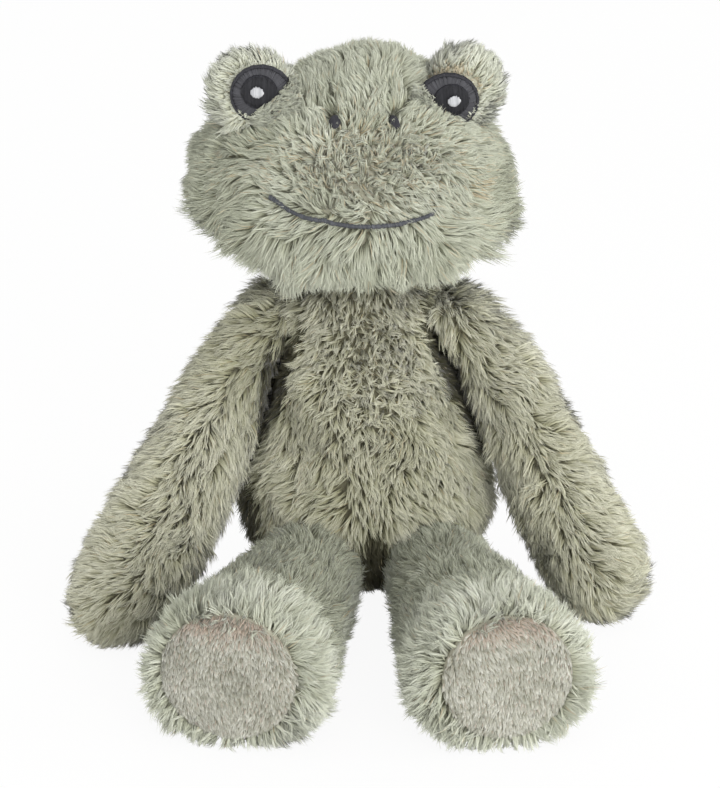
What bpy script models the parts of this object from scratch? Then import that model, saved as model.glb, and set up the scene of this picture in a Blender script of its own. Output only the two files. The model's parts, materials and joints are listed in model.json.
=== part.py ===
"""A sitting plush frog, sewn from long-pile fur fabric and filled with loose fibre.

Every stuffed form is a skin with a filling inside it. Head, arms and legs are sewn on,
so each turns about a pivot inside its own seam. Metres, +Z up, face towards -Y,
origin on the flat seat under the body.
"""
import math

import bmesh
import bpy
from mathutils import Matrix, Vector

for leftover in list(bpy.data.objects):
    bpy.data.objects.remove(leftover)

# Fabric, thread and clearances
GAP = 0.0003  # between two pieces that lie on each other
THREAD = 0.0010  # sewing thread as it lies in a seam, doubled and waxed
PLAY = THREAD + 3 * GAP  # room round a limb's round end, where its seam thread runs
PILE = 0.0060  # fur fabric, backing and lying pile together
BASE_DIP = 0.0005  # how far a soft underside is pressed flat where it rests
OVERRUN = 0.0200  # how far a cutter runs past what it cuts

# Body
TORSO_HEIGHT = 0.1310
TORSO_HALF_WIDTH = 0.0460
TORSO_FRONT = 0.0400
TORSO_BACK = 0.0385
TORSO_LEAN = -0.0030  # sideways drift of the body's middle, seat to neck
TORSO_SLOUCH = 0.0060  # how far the seat lies behind the neck
NECK_RADIUS = 0.0200
NECK_RISE = 0.1230
NECK_HOLE = 0.0100
NECK_SEAM_ANGLE = math.radians(64.0)  # of the seam circle from the ball's sewn side
PELLET_BAG_HALF_WIDTH = 0.0220
PELLET_BAG_HALF_DEPTH = 0.0120
PELLET_BAG_HALF_HEIGHT = 0.0095
PELLET_BAG_BACK = 0.0100
BACK_SEAM_LENGTH = 0.0340
BACK_SEAM_RISE = 0.0400

# Head
HEAD_HEIGHT = 0.0775
HEAD_HALF_WIDTH = 0.0565
HEAD_FRONT = 0.0520
HEAD_BACK = 0.0430
HEAD_RISE = 0.0050  # underside above the neck pivot
HEAD_SIDEWAYS = -0.0022
HEAD_TURN = math.radians(6.0)

# Eyes
POD_HALF_WIDTH = 0.0142
POD_HALF_DEPTH = 0.0125
POD_HALF_HEIGHT = 0.0142
POD_WALL = 0.0040
POD_SPREAD = 0.0360
POD_FORWARD = 0.0160
POD_RISE = 0.0700
POD_TURN = math.radians(12.0)
EYE_RADIUS = 0.0102
EYE_THICKNESS = 0.0010
EYE_INWARD_LEFT = 0.0057
EYE_INWARD_RIGHT = 0.0031
EYE_UP_LEFT = 0.0002
EYE_UP_RIGHT = 0.0034
EYE_SEAT = 0.0088  # from the pod's middle to the face that the eye lies on
PUPIL_RADIUS = 0.0062
PUPIL_THICKNESS = 0.0007
HIGHLIGHT_RADIUS = 0.0024
HIGHLIGHT_THICKNESS = 0.0007
HIGHLIGHT_UP = 0.0016

# Nose and mouth
NOSTRIL_SPREAD = 0.0102
NOSTRIL_RISE = 0.0650
NOSTRIL_HALF_WIDTH = 0.0020
NOSTRIL_HALF_HEIGHT = 0.0031
NOSTRIL_THICKNESS = 0.0012
MOUTH_HALF_WIDTH = 0.0325
MOUTH_RISE = 0.0328
MOUTH_LIFT = 0.0110
MOUTH_THREAD = 0.0018

# Arms
ARM_BALL = 0.0130
ARM_LENGTH_LEFT = 0.1140  # pivot to fingertips, as it hangs
ARM_LENGTH_RIGHT = 0.1235
ARM_HALF_WIDTH_LEFT = 0.0178
ARM_HALF_WIDTH_RIGHT = 0.0198
ARM_HALF_DEPTH = 0.0182
ARM_SLEEVE_HOLE = 0.0060
SHOULDER_SEAM_ANGLE = math.radians(31.0)
SHOULDER_SPREAD = 0.0385
SHOULDER_RISE = 0.1000
ARM_OUT_LEFT = math.radians(27.0)
ARM_OUT_RIGHT = math.radians(26.5)
ARM_FORWARD_LEFT = math.radians(19.0)
ARM_FORWARD_RIGHT = math.radians(28.0)

# Legs
LEG_BALL = 0.0170
LEG_LENGTH = 0.1120  # pivot to sole
LEG_HALF_WIDTH = 0.0298
LEG_OVER = 0.0305
LEG_UNDER = 0.0210
HIP_SPREAD = 0.0225
HIP_SHIFT = 0.0020
HIP_FORWARD = 0.0300
HIP_RISE = 0.0205
LEG_SPLAY_LEFT = math.radians(11.0)
LEG_SPLAY_RIGHT = math.radians(13.5)
LEG_NECK_ANGLE = math.radians(38.0)
LEG_HOLE = 0.0090
LEG_LIFT = math.radians(20.0)  # how far a leg can be raised before it meets the belly
HIP_SEAM_ANGLE = math.radians(80.0)
SOLE_HALF_WIDTH = 0.0218
SOLE_HALF_HEIGHT = 0.0205
SOLE_THICKNESS = 0.0030
SOLE_RISE = 0.0070  # middle of the sole above the hip
SOLE_LIP = 0.0040  # how far the skin laps behind the sole

# Sides, "left" being the toy's own left at +X
SIDES = {"left": 1, "right": -1}
EYE_PLACE = {"left": (EYE_INWARD_LEFT, EYE_UP_LEFT), "right": (EYE_INWARD_RIGHT, EYE_UP_RIGHT)}
ARM_LENGTH = {"left": ARM_LENGTH_LEFT, "right": ARM_LENGTH_RIGHT}
ARM_HALF_WIDTH = {"left": ARM_HALF_WIDTH_LEFT, "right": ARM_HALF_WIDTH_RIGHT}
ARM_OUT = {"left": ARM_OUT_LEFT, "right": ARM_OUT_RIGHT}
ARM_FORWARD = {"left": ARM_FORWARD_LEFT, "right": ARM_FORWARD_RIGHT}
LEG_SPLAY = {"left": LEG_SPLAY_LEFT, "right": LEG_SPLAY_RIGHT}

# Counts
RING_SIDES = 20
LIMB_SIDES = 16
FILL_SIDES = 12
BALL_SIDES = 20
THREAD_SIDES = 6
SMALL_SIDES = 10
SEAM_STEPS = 20

# Rise, width, front and back of each form, as shares of its own sizes
TORSO_SHARES = (
    (0.000, 0.00, 0.00, 0.00),
    (0.000, 0.22, 0.13, 0.26),
    (0.016, 0.44, 0.32, 0.48),
    (0.062, 0.68, 0.58, 0.72),
    (0.145, 0.89, 0.84, 0.91),
    (0.270, 1.00, 1.00, 1.00),
    (0.410, 0.96, 0.96, 0.96),
    (0.550, 0.86, 0.85, 0.86),
    (0.690, 0.72, 0.71, 0.73),
    (0.810, 0.59, 0.58, 0.61),
    (0.905, 0.44, 0.49, 0.51),
    (0.975, 0.25, 0.27, 0.29),
    (1.000, 0.00, 0.00, 0.00),
)
HEAD_SHARES = (
    (0.000, 0.00, 0.00, 0.00),
    (0.012, 0.33, 0.42, 0.36),
    (0.050, 0.62, 0.74, 0.64),
    (0.120, 0.82, 0.92, 0.85),
    (0.210, 0.93, 0.99, 0.95),
    (0.310, 0.97, 1.00, 1.00),
    (0.420, 0.98, 1.00, 1.01),
    (0.540, 0.92, 0.97, 0.99),
    (0.660, 0.81, 0.90, 0.92),
    (0.770, 0.66, 0.77, 0.81),
    (0.870, 0.45, 0.55, 0.62),
    (0.955, 0.24, 0.30, 0.35),
    (1.000, 0.00, 0.00, 0.00),
)
ARM_SHARES = (
    (0.160, 0.75, 0.82, 0.82),
    (0.340, 0.82, 0.87, 0.87),
    (0.520, 0.90, 0.93, 0.93),
    (0.680, 0.98, 0.99, 0.99),
    (0.810, 1.00, 1.00, 1.00),
    (0.910, 0.83, 0.82, 0.82),
    (0.975, 0.49, 0.48, 0.48),
    (1.000, 0.00, 0.00, 0.00),
)
LEG_SHARES = (
    (0.170, 0.55, 0.74, 0.50),
    (0.280, 0.69, 0.87, 0.63),
    (0.430, 0.79, 0.96, 0.74),
    (0.580, 0.87, 1.00, 0.86),
    (0.730, 0.96, 1.02, 0.98),
    (0.850, 1.03, 1.02, 1.03),
    (0.940, 0.99, 0.97, 0.99),
    (0.990, 0.84, 0.76, 0.89),
    (1.000, 0.71, 0.56, 0.79),
    (1.000, 0.36, 0.28, 0.40),
    (1.000, 0.00, 0.00, 0.00),
)
MOUTH_SHARES = (
    (-1.00, 0.78),
    (-0.76, 0.36),
    (-0.48, 0.16),
    (-0.20, 0.04),
    (0.08, 0.00),
    (0.34, 0.04),
    (0.62, 0.22),
    (0.84, 0.54),
    (1.00, 1.00),
)


def paint(piece, colour, roughness):
    """Give the piece a material of its own."""
    material = bpy.data.materials.new(piece.name)
    material.use_nodes = True
    shader = material.node_tree.nodes["Principled BSDF"]
    shader.inputs["Base Color"].default_value = (*colour, 1.0)
    shader.inputs["Roughness"].default_value = roughness
    shader.inputs["Metallic"].default_value = 0.0
    piece.data.materials.append(material)


def fur(piece):
    paint(piece, (0.33, 0.35, 0.25), 0.95)


def filling(piece):
    paint(piece, (0.85, 0.85, 0.82), 0.90)


def thread(piece):
    paint(piece, (0.10, 0.10, 0.11), 0.70)


def add_piece(name, mesh, parent):
    """Stand a bmesh in the scene as a smooth-shaded object under its parent."""
    bmesh.ops.recalc_face_normals(mesh, faces=mesh.faces)
    data = bpy.data.meshes.new(name)
    mesh.to_mesh(data)
    mesh.free()
    data.shade_smooth()
    piece = bpy.data.objects.new(name, data)
    bpy.context.scene.collection.objects.link(piece)
    piece.parent = parent
    return piece


def add_pivot(name, place, turn=None, parent=None):
    """An empty on a joint's axis, which carries what turns there."""
    pivot = bpy.data.objects.new(name, None)
    bpy.context.scene.collection.objects.link(pivot)
    pivot.parent = parent
    pivot.matrix_local = Matrix.Translation(place) @ (turn or Matrix.Identity(4))
    return pivot


def as_cutter(piece):
    piece.hide_render = True
    piece.display_type = "WIRE"
    return piece


def cut(piece, *cutters, operation="DIFFERENCE"):
    for cutter in cutters:
        boolean = piece.modifiers.new(cutter.name, "BOOLEAN")
        boolean.operation = operation
        boolean.solver = "EXACT"
        boolean.object = cutter


def smooth_value(values, place):
    """Read a row of values at a place between them, on a smooth curve."""
    index = min(int(place), len(values) - 2)
    share = place - index
    before, start, end, after = (
        values[max(index - 1, 0)],
        values[index],
        values[index + 1],
        values[min(index + 2, len(values) - 1)],
    )
    return 0.5 * (
        2 * start
        + (end - before) * share
        + (2 * before - 5 * start + 4 * end - after) * share**2
        + (3 * start - before - 3 * end + after) * share**3
    )


def smooth_row(shares, place):
    return [smooth_value([row[i] for row in shares], place) for i in range(len(shares[0]))]


def form_levels(shares, height, width, front, back, between):
    """Levels of a form: rise, half width, front and back reach, with extra ones between."""
    steps = (len(shares) - 1) * between
    levels = []
    for step in range(steps + 1):
        rise, wide, ahead, behind = smooth_row(shares, step / between)
        levels.append((rise * height, wide * width, ahead * front, behind * back))
    return levels


def ring_points(level, sides, drift):
    """An oval whose front and back may reach differently."""
    rise, width, front, back = level
    points = []
    for i in range(sides):
        angle = 2 * math.pi * i / sides
        reach = back if math.sin(angle) > 0 else front
        oval = Vector((width * math.cos(angle), reach * math.sin(angle), rise))
        points.append(oval + drift(rise))
    return points


def stack_rings(mesh, rings):
    """Skin a stack of rings whose first and last have shrunk to a point."""
    first = mesh.verts.new(sum(rings[0], Vector()) / len(rings[0]))
    last = mesh.verts.new(sum(rings[-1], Vector()) / len(rings[-1]))
    rows = [[mesh.verts.new(point) for point in ring] for ring in rings[1:-1]]
    sides = len(rows[0])
    for lower, upper in zip(rows, rows[1:]):
        for i in range(sides):
            j = (i + 1) % sides
            mesh.faces.new((lower[i], lower[j], upper[j], upper[i]))
    for i in range(sides):
        j = (i + 1) % sides
        mesh.faces.new((first, rows[0][j], rows[0][i]))
        mesh.faces.new((last, rows[-1][i], rows[-1][j]))
    mesh.normal_update()


def no_drift(rise):
    return Vector()


def closed_form(levels, sides, inset=0.0, drift=no_drift):
    """A closed stuffed form, drawn in by inset along its normals."""
    mesh = bmesh.new()
    stack_rings(mesh, [ring_points(level, sides, drift) for level in levels])
    if inset:
        moves = [(vert, vert.normal * inset) for vert in mesh.verts]
        for vert, move in moves:
            vert.co -= move
    return mesh


def hollow_form(levels, sides, inner_levels, wall):
    """A form with a coarser inner face, closed until a cutter opens it."""
    mesh = closed_form(levels, sides)
    inner = closed_form(inner_levels, FILL_SIDES, wall)
    bmesh.ops.reverse_faces(inner, faces=inner.faces)
    data = bpy.data.meshes.new("inner face")
    inner.to_mesh(data)
    inner.free()
    mesh.from_mesh(data)
    bpy.data.meshes.remove(data)
    return mesh


def add_skin(name, levels, sides, inner_levels, parent):
    """Add a fur skin without turning its inner face outwards."""
    mesh = hollow_form(levels, sides, inner_levels, PILE)
    data = bpy.data.meshes.new(name)
    mesh.to_mesh(data)
    mesh.free()
    data.shade_smooth()
    piece = bpy.data.objects.new(name, data)
    bpy.context.scene.collection.objects.link(piece)
    piece.parent = parent
    fur(piece)
    return piece


def ball_mesh(radius):
    mesh = bmesh.new()
    bmesh.ops.create_uvsphere(
        mesh, u_segments=BALL_SIDES, v_segments=BALL_SIDES // 2, radius=radius
    )
    return mesh


def oval_ball(half_sizes, sides=FILL_SIDES):
    mesh = bmesh.new()
    bmesh.ops.create_uvsphere(mesh, u_segments=sides, v_segments=sides // 2, radius=1.0)
    bmesh.ops.scale(mesh, vec=half_sizes, verts=mesh.verts)
    return mesh


def disc_mesh(half_width, half_height, thickness, sides):
    """A flat oval disc on the XZ plane, its face at -Y and its back on the plane."""
    mesh = bmesh.new()
    bmesh.ops.create_cone(
        mesh,
        cap_ends=True,
        segments=sides,
        radius1=1.0,
        radius2=1.0,
        depth=thickness,
    )
    bmesh.ops.scale(mesh, vec=(half_width, half_height, 1.0), verts=mesh.verts)
    bmesh.ops.rotate(mesh, matrix=Matrix.Rotation(math.pi / 2, 3, "X"), verts=mesh.verts)
    bmesh.ops.translate(mesh, vec=(0.0, -thickness / 2, 0.0), verts=mesh.verts)
    return mesh


def tube_mesh(path, radius, closed):
    """A round thread along a path of points."""
    mesh = bmesh.new()
    rings = []
    count = len(path)
    for i, point in enumerate(path):
        ahead = path[(i + 1) % count] if closed or i < count - 1 else point
        behind = path[i - 1] if closed or i > 0 else point
        along = (ahead - behind).normalized()
        side = along.cross(Vector((0.0, 1.0, 0.0))).normalized()
        over = along.cross(side)
        rings.append(
            [
                mesh.verts.new(
                    point
                    + side * radius * math.cos(2 * math.pi * k / THREAD_SIDES)
                    + over * radius * math.sin(2 * math.pi * k / THREAD_SIDES)
                )
                for k in range(THREAD_SIDES)
            ]
        )
    pairs = list(zip(rings, rings[1:]))
    if closed:
        pairs.append((rings[-1], rings[0]))
    else:
        mesh.faces.new(rings[0])
        mesh.faces.new(rings[-1])
    for near, far in pairs:
        for k in range(THREAD_SIDES):
            n = (k + 1) % THREAD_SIDES
            mesh.faces.new((near[k], near[n], far[n], far[k]))
    return mesh


def seam_ring(ball_radius, angle):
    """Thread lying on a ball end, in a circle at an angle from the ball's +Y pole."""
    reach = ball_radius + GAP + THREAD / 2
    path = []
    for i in range(SEAM_STEPS):
        turn = 2 * math.pi * i / SEAM_STEPS
        radius = reach * math.sin(angle)
        path.append(
            Vector((radius * math.cos(turn), reach * math.cos(angle), radius * math.sin(turn)))
        )
    return tube_mesh(path, THREAD / 2, closed=True)


# Shared forms and the cutters made from them
def torso_drift(rise):
    """The seat lies behind the neck, and the neck a little to one side."""
    share = rise / NECK_RISE
    return Vector((TORSO_LEAN * share, TORSO_SLOUCH * (1.0 - share), 0.0))


def torso_levels(between):
    levels = form_levels(
        TORSO_SHARES,
        TORSO_HEIGHT,
        TORSO_HALF_WIDTH,
        TORSO_FRONT,
        TORSO_BACK,
        between,
    )
    return [(rise - BASE_DIP, width, front, back) for rise, width, front, back in levels]


def head_levels(between):
    levels = form_levels(
        HEAD_SHARES,
        HEAD_HEIGHT,
        HEAD_HALF_WIDTH,
        HEAD_FRONT,
        HEAD_BACK,
        between,
    )
    return [(rise + HEAD_RISE, width, front, back) for rise, width, front, back in levels]


def head_surface(across, rise):
    """Depth of the face at a place given across the head and above the neck pivot."""
    levels = head_levels(2)
    for low, high in zip(levels, levels[1:]):
        if low[0] <= rise <= high[0]:
            share = (rise - low[0]) / (high[0] - low[0])
            width = low[1] + (high[1] - low[1]) * share
            front = low[2] + (high[2] - low[2]) * share
            return -front * math.sqrt(max(0.0, 1.0 - (across / width) ** 2))
    return 0.0


def face_place(across, rise, lift):
    """A point lifted off the face along its normal, and that normal."""
    step = THREAD
    here = Vector((across, head_surface(across, rise), rise))
    beside = Vector((across + step, head_surface(across + step, rise), rise))
    above = Vector((across, head_surface(across, rise + step), rise + step))
    normal = (beside - here).cross(above - here).normalized()
    return here + normal * lift, normal


def limb_levels(ball, neck_angle, shares, length, width, under, over):
    """A limb along +Z: a round end about the pivot, then the levels of its own shares."""
    levels = []
    steps = FILL_SIDES // 2
    for i in range(steps):
        angle = -math.pi / 2 + (math.pi / 2 + neck_angle) * i / steps
        reach = ball * math.cos(angle)
        levels.append((ball * math.sin(angle), reach, reach, reach))
    return levels + form_levels(shares, length, width, under, over, 1)


def arm_levels(name):
    """The arm leaves its round end at that end's own width."""
    width = ARM_HALF_WIDTH[name]
    start = (0.0, ARM_BALL / width, ARM_BALL / ARM_HALF_DEPTH, ARM_BALL / ARM_HALF_DEPTH)
    return limb_levels(
        ARM_BALL,
        0.0,
        (start, *ARM_SHARES),
        ARM_LENGTH[name],
        width,
        ARM_HALF_DEPTH,
        ARM_HALF_DEPTH,
    )


def leg_levels():
    return limb_levels(
        LEG_BALL,
        LEG_NECK_ANGLE,
        LEG_SHARES,
        LEG_LENGTH,
        LEG_HALF_WIDTH,
        LEG_UNDER,
        LEG_OVER,
    )


def floor_cutter():
    """Everything under the surface that the toy sits on."""
    reach = TORSO_HALF_WIDTH + LEG_LENGTH + LEG_HALF_WIDTH + OVERRUN
    mesh = bmesh.new()
    bmesh.ops.create_cube(mesh, size=1.0)
    bmesh.ops.scale(mesh, vec=(2 * reach, 2 * reach, OVERRUN), verts=mesh.verts)
    bmesh.ops.translate(mesh, vec=(0.0, 0.0, -OVERRUN / 2), verts=mesh.verts)
    return as_cutter(add_piece("floor cutter", mesh, None))


# Pivots: each limb turns about the middle of its own round end
neck = add_pivot(
    "neck pivot", Vector((TORSO_LEAN, 0.0, NECK_RISE)), Matrix.Rotation(HEAD_TURN, 4, "Z")
)
floor = floor_cutter()


def arm_turn(side, out, forward):
    """Arm frame: +Z along the arm, hanging outward and forward."""
    hang = Matrix.Rotation(math.pi, 4, "Y")
    outward = Matrix.Rotation(-side * out, 4, "Y")
    ahead = Matrix.Rotation(-forward, 4, "X")
    return ahead @ outward @ hang


def leg_turn(side, splay):
    """Leg frame: +Z along the leg towards its sole, +Y up."""
    lie = Matrix.Rotation(math.pi / 2, 4, "X")
    return Matrix.Rotation(side * splay, 4, "Z") @ lie


shoulders = {}
hips = {}
dishes = []
cores = []
for name, side in SIDES.items():
    shoulders[name] = add_pivot(
        f"shoulder pivot {name}",
        Vector((side * SHOULDER_SPREAD, 0.0, SHOULDER_RISE)),
        arm_turn(side, ARM_OUT[name], ARM_FORWARD[name]),
    )
    hips[name] = add_pivot(
        f"hip pivot {name}",
        Vector((HIP_SHIFT + side * HIP_SPREAD, -HIP_FORWARD, HIP_RISE)),
        leg_turn(side, LEG_SPLAY[name]),
    )
    for pivot, ball in ((shoulders[name], ARM_BALL), (hips[name], LEG_BALL)):
        dishes.append(as_cutter(add_piece(f"{pivot.name} dish", ball_mesh(ball + PLAY), pivot)))
        cores.append(as_cutter(add_piece(f"{pivot.name} core", ball_mesh(ball + 2 * GAP), pivot)))

neck_ball = as_cutter(add_piece("neck ball", ball_mesh(NECK_RADIUS), neck))
neck_dish = as_cutter(add_piece("neck dish", ball_mesh(NECK_RADIUS + PLAY), neck))


def torso_outline(name):
    outline = closed_form(torso_levels(2), RING_SIDES, -GAP, torso_drift)
    return as_cutter(add_piece(name, outline, None))


def lifted_torso(name):
    """What the body fills as the leg is raised against it, less the limbs' round ends."""
    cutter = torso_outline(f"torso met by leg {name}")
    pivot = Matrix.Translation(hips[name].matrix_local.translation)
    for step in (1, 2):
        lifted = torso_outline(f"torso met by leg {name} lifted {step}")
        lift = Matrix.Rotation(LEG_LIFT * step / 2, 4, "X")
        lifted.matrix_local = pivot @ lift @ pivot.inverted()
        cut(cutter, lifted, operation="UNION")
    cut(cutter, *cores)
    return cutter


def swept_torso(name, side):
    """What the body fills as the arm swings past it, turned about the swing axis."""
    rows = [row for row in torso_levels(2) if row[0] < SHOULDER_RISE]
    widest = max(rows, key=lambda row: row[1])
    outline = []
    for rise, width, _, _ in rows:
        if rise >= widest[0]:
            beside = width + side * torso_drift(rise).x + 2 * GAP
            outline.append((beside, SHOULDER_RISE - rise))
    reach = SHOULDER_SPREAD + ARM_LENGTH[name]
    outline = [(0.0, 0.0), (0.0, reach), (outline[0][0], reach)] + outline
    outline.append((outline[-1][0] - GAP, 0.0))
    levels = [(beside, away, away, away) for beside, away in outline]
    mesh = closed_form(levels, RING_SIDES)
    bmesh.ops.rotate(mesh, matrix=Matrix.Rotation(side * math.pi / 2, 3, "Y"), verts=mesh.verts)
    bmesh.ops.translate(mesh, vec=(0.0, 0.0, SHOULDER_RISE), verts=mesh.verts)
    cutter = as_cutter(add_piece(f"torso passed by arm {name}", mesh, None))
    cut(cutter, *cores)
    return cutter


def make_torso():
    """Pear-shaped body: skin with a rounded neck, filling, pellet bag and back seam."""
    skin = add_piece(
        "torso_skin", closed_form(torso_levels(2), RING_SIDES, 0.0, torso_drift), None
    )
    fur(skin)
    hollow = as_cutter(
        add_piece("torso hollow", closed_form(torso_levels(1), FILL_SIDES, PILE, torso_drift), None)
    )
    throat = as_cutter(add_piece("throat", hole_mesh(NECK_HOLE, NECK_RADIUS), neck))
    throat.matrix_local = Matrix.Rotation(math.pi / 2, 4, "X")
    cut(skin, neck_ball, operation="UNION")
    cut(skin, hollow, throat, *dishes, floor)

    bag_size = (PELLET_BAG_HALF_WIDTH, PELLET_BAG_HALF_DEPTH, PELLET_BAG_HALF_HEIGHT)
    bag_rise = PILE + 2 * GAP + PELLET_BAG_HALF_HEIGHT + PILE / 2
    bag_place = Vector((0.0, PELLET_BAG_BACK, bag_rise))
    bag = add_piece("pellet_bag", oval_ball(bag_size), None)
    bag.location = bag_place
    paint(bag, (0.55, 0.52, 0.45), 0.80)

    pocket = as_cutter(
        add_piece("pellet pocket", oval_ball([size + GAP for size in bag_size]), None)
    )
    pocket.location = bag_place
    filled = add_piece(
        "torso_stuffing",
        closed_form(torso_levels(1), FILL_SIDES, PILE + GAP, torso_drift),
        None,
    )
    filling(filled)
    slot = as_cutter(add_piece("pellet slot", oval_ball((PILE, OVERRUN, PILE)), None))
    slot.location = bag_place + Vector((0.0, PELLET_BAG_HALF_DEPTH + OVERRUN, 0.0))
    cut(filled, *dishes, pocket, slot)


def make_back_seam():
    """The ladder-stitched slit up the back through which the body was filled."""
    levels = torso_levels(2)
    path = []
    for i in range(FILL_SIDES + 1):
        rise = BACK_SEAM_RISE + BACK_SEAM_LENGTH * i / FILL_SIDES
        for low, high in zip(levels, levels[1:]):
            if low[0] <= rise < high[0]:
                share = (rise - low[0]) / (high[0] - low[0])
                reach = low[3] + (high[3] - low[3]) * share
                path.append(Vector((0.0, reach + GAP + THREAD / 2, rise)) + torso_drift(rise))
    seam = add_piece("closing_seam", side_tube(path, THREAD / 2), None)
    thread(seam)


def side_tube(path, radius):
    """A thread that runs upwards, built about the X axis so that no ring twists."""
    turn = Matrix.Rotation(math.pi / 2, 3, "Z")
    mesh = tube_mesh([turn @ point for point in path], radius, closed=False)
    bmesh.ops.rotate(mesh, matrix=turn.inverted(), verts=mesh.verts)
    return mesh


def make_head():
    """Wide frog head, open underneath where it sits on the neck."""
    skin = add_skin("head_skin", head_levels(2), RING_SIDES, head_levels(1), neck)
    skin.location.x = HEAD_SIDEWAYS
    cut(skin, neck_dish)
    inside = closed_form(head_levels(1), FILL_SIDES, PILE + GAP)
    filled = add_piece("head_stuffing", inside, neck)
    filled.location.x = HEAD_SIDEWAYS
    filling(filled)
    cut(filled, neck_dish)
    outline = closed_form(head_levels(2), RING_SIDES, -GAP)
    outside = as_cutter(add_piece("head outside", outline, neck))
    outside.location.x = HEAD_SIDEWAYS
    return outside


def make_eye(name, side, head_outside):
    """A fur pouch on the brow with a flat embroidered eye on its face."""
    place = Vector((HEAD_SIDEWAYS + side * POD_SPREAD, -POD_FORWARD, POD_RISE))
    turn = Matrix.Rotation(side * POD_TURN, 4, "Z")
    pod_frame = add_pivot(f"eye frame {name}", place, turn, neck)
    sizes = (POD_HALF_WIDTH, POD_HALF_DEPTH, POD_HALF_HEIGHT)
    pod = add_piece(f"eye_pod_{name}", oval_ball(sizes, LIMB_SIDES), pod_frame)
    fur(pod)
    hollow = as_cutter(
        add_piece(f"pod hollow {name}", oval_ball([s - POD_WALL for s in sizes]), pod_frame)
    )
    fill_sizes = [s - POD_WALL - GAP for s in sizes]
    fill = add_piece(f"eye_pod_stuffing_{name}", oval_ball(fill_sizes), pod_frame)
    filling(fill)

    inward, up = EYE_PLACE[name]
    seat_place = Vector((-side * inward, -EYE_SEAT, up))
    seat = as_cutter(
        add_piece(
            f"eye seat {name}",
            disc_mesh(EYE_RADIUS + GAP, EYE_RADIUS + GAP, OVERRUN, RING_SIDES),
            pod_frame,
        )
    )
    seat.location = seat_place
    cut(pod, hollow, head_outside, seat)
    cut(fill, head_outside, seat)

    layers = (
        ("eye_patch", EYE_RADIUS, EYE_THICKNESS, RING_SIDES, 0.0, (0.12, 0.12, 0.13)),
        ("pupil", PUPIL_RADIUS, PUPIL_THICKNESS, LIMB_SIDES, 0.0, (0.03, 0.03, 0.04)),
        ("highlight", HIGHLIGHT_RADIUS, HIGHLIGHT_THICKNESS, SMALL_SIDES, HIGHLIGHT_UP, (0.8,) * 3),
    )
    depth = EYE_SEAT
    for layer, radius, thickness, sides, above, colour in layers:
        depth += GAP
        disc = add_piece(f"{layer}_{name}", disc_mesh(radius, radius, thickness, sides), pod_frame)
        disc.location = Vector((-side * inward, -depth, up + above))
        paint(disc, colour, 0.6)
        cut(disc, head_outside)
        depth += thickness


def make_nostril(name, side):
    """A small satin-stitched oval on top of the muzzle."""
    lift = GAP + NOSTRIL_THICKNESS / 2
    place, normal = face_place(side * NOSTRIL_SPREAD, NOSTRIL_RISE, lift)
    sizes = (NOSTRIL_HALF_WIDTH, NOSTRIL_THICKNESS / 2, NOSTRIL_HALF_HEIGHT)
    nostril = add_piece(f"nostril_{name}", oval_ball(sizes, SMALL_SIDES), neck)
    turn = normal.to_track_quat("-Y", "Z").to_matrix().to_4x4()
    nostril.matrix_local = Matrix.Translation(place + Vector((HEAD_SIDEWAYS, 0.0, 0.0))) @ turn
    thread(nostril)


def make_mouth():
    """One line of thick stitching across the face."""
    path = []
    steps = (len(MOUTH_SHARES) - 1) * 3
    for i in range(steps + 1):
        across, lift = smooth_row(MOUTH_SHARES, i / 3)
        rise = MOUTH_RISE + lift * MOUTH_LIFT
        place, _ = face_place(across * MOUTH_HALF_WIDTH, rise, GAP + MOUTH_THREAD / 2)
        path.append(place + Vector((HEAD_SIDEWAYS, 0.0, 0.0)))
    mouth = add_piece("mouth_stitch", tube_mesh(path, MOUTH_THREAD / 2, closed=False), neck)
    thread(mouth)


def make_arm(name, side):
    """Arm and hand in one skin, filled through the sleeve hole that the shoulder hides."""
    pivot = shoulders[name]
    levels = arm_levels(name)
    skin = add_skin(f"arm_skin_{name}", levels, LIMB_SIDES, levels, pivot)
    inside = closed_form(levels, FILL_SIDES, PILE + GAP)
    filled = add_piece(f"arm_stuffing_{name}", inside, pivot)
    filling(filled)
    hole = as_cutter(add_piece(f"sleeve hole {name}", hole_mesh(ARM_SLEEVE_HOLE, ARM_BALL), pivot))
    hole.matrix_local = shoulder_inward(side, name)
    swept = swept_torso(name, side)
    cut(skin, swept, hole)
    cut(filled, swept)
    seam = add_piece(f"shoulder_seam_{name}", seam_ring(ARM_BALL, SHOULDER_SEAM_ANGLE), pivot)
    seam.matrix_local = shoulder_inward(side, name)
    thread(seam)


def shoulder_inward(side, name):
    """Turn that lays +Y towards the body's middle, in the arm's own frame."""
    world_turn = Matrix.Rotation(side * math.pi / 2, 4, "Z")
    return arm_turn(side, ARM_OUT[name], ARM_FORWARD[name]).inverted() @ world_turn


def hole_mesh(radius, reach):
    """A round bar from the middle of a ball end out through its +Y pole."""
    mesh = disc_mesh(radius, radius, reach + OVERRUN, FILL_SIDES)
    bmesh.ops.translate(mesh, vec=(0.0, reach + OVERRUN, 0.0), verts=mesh.verts)
    return mesh


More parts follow.
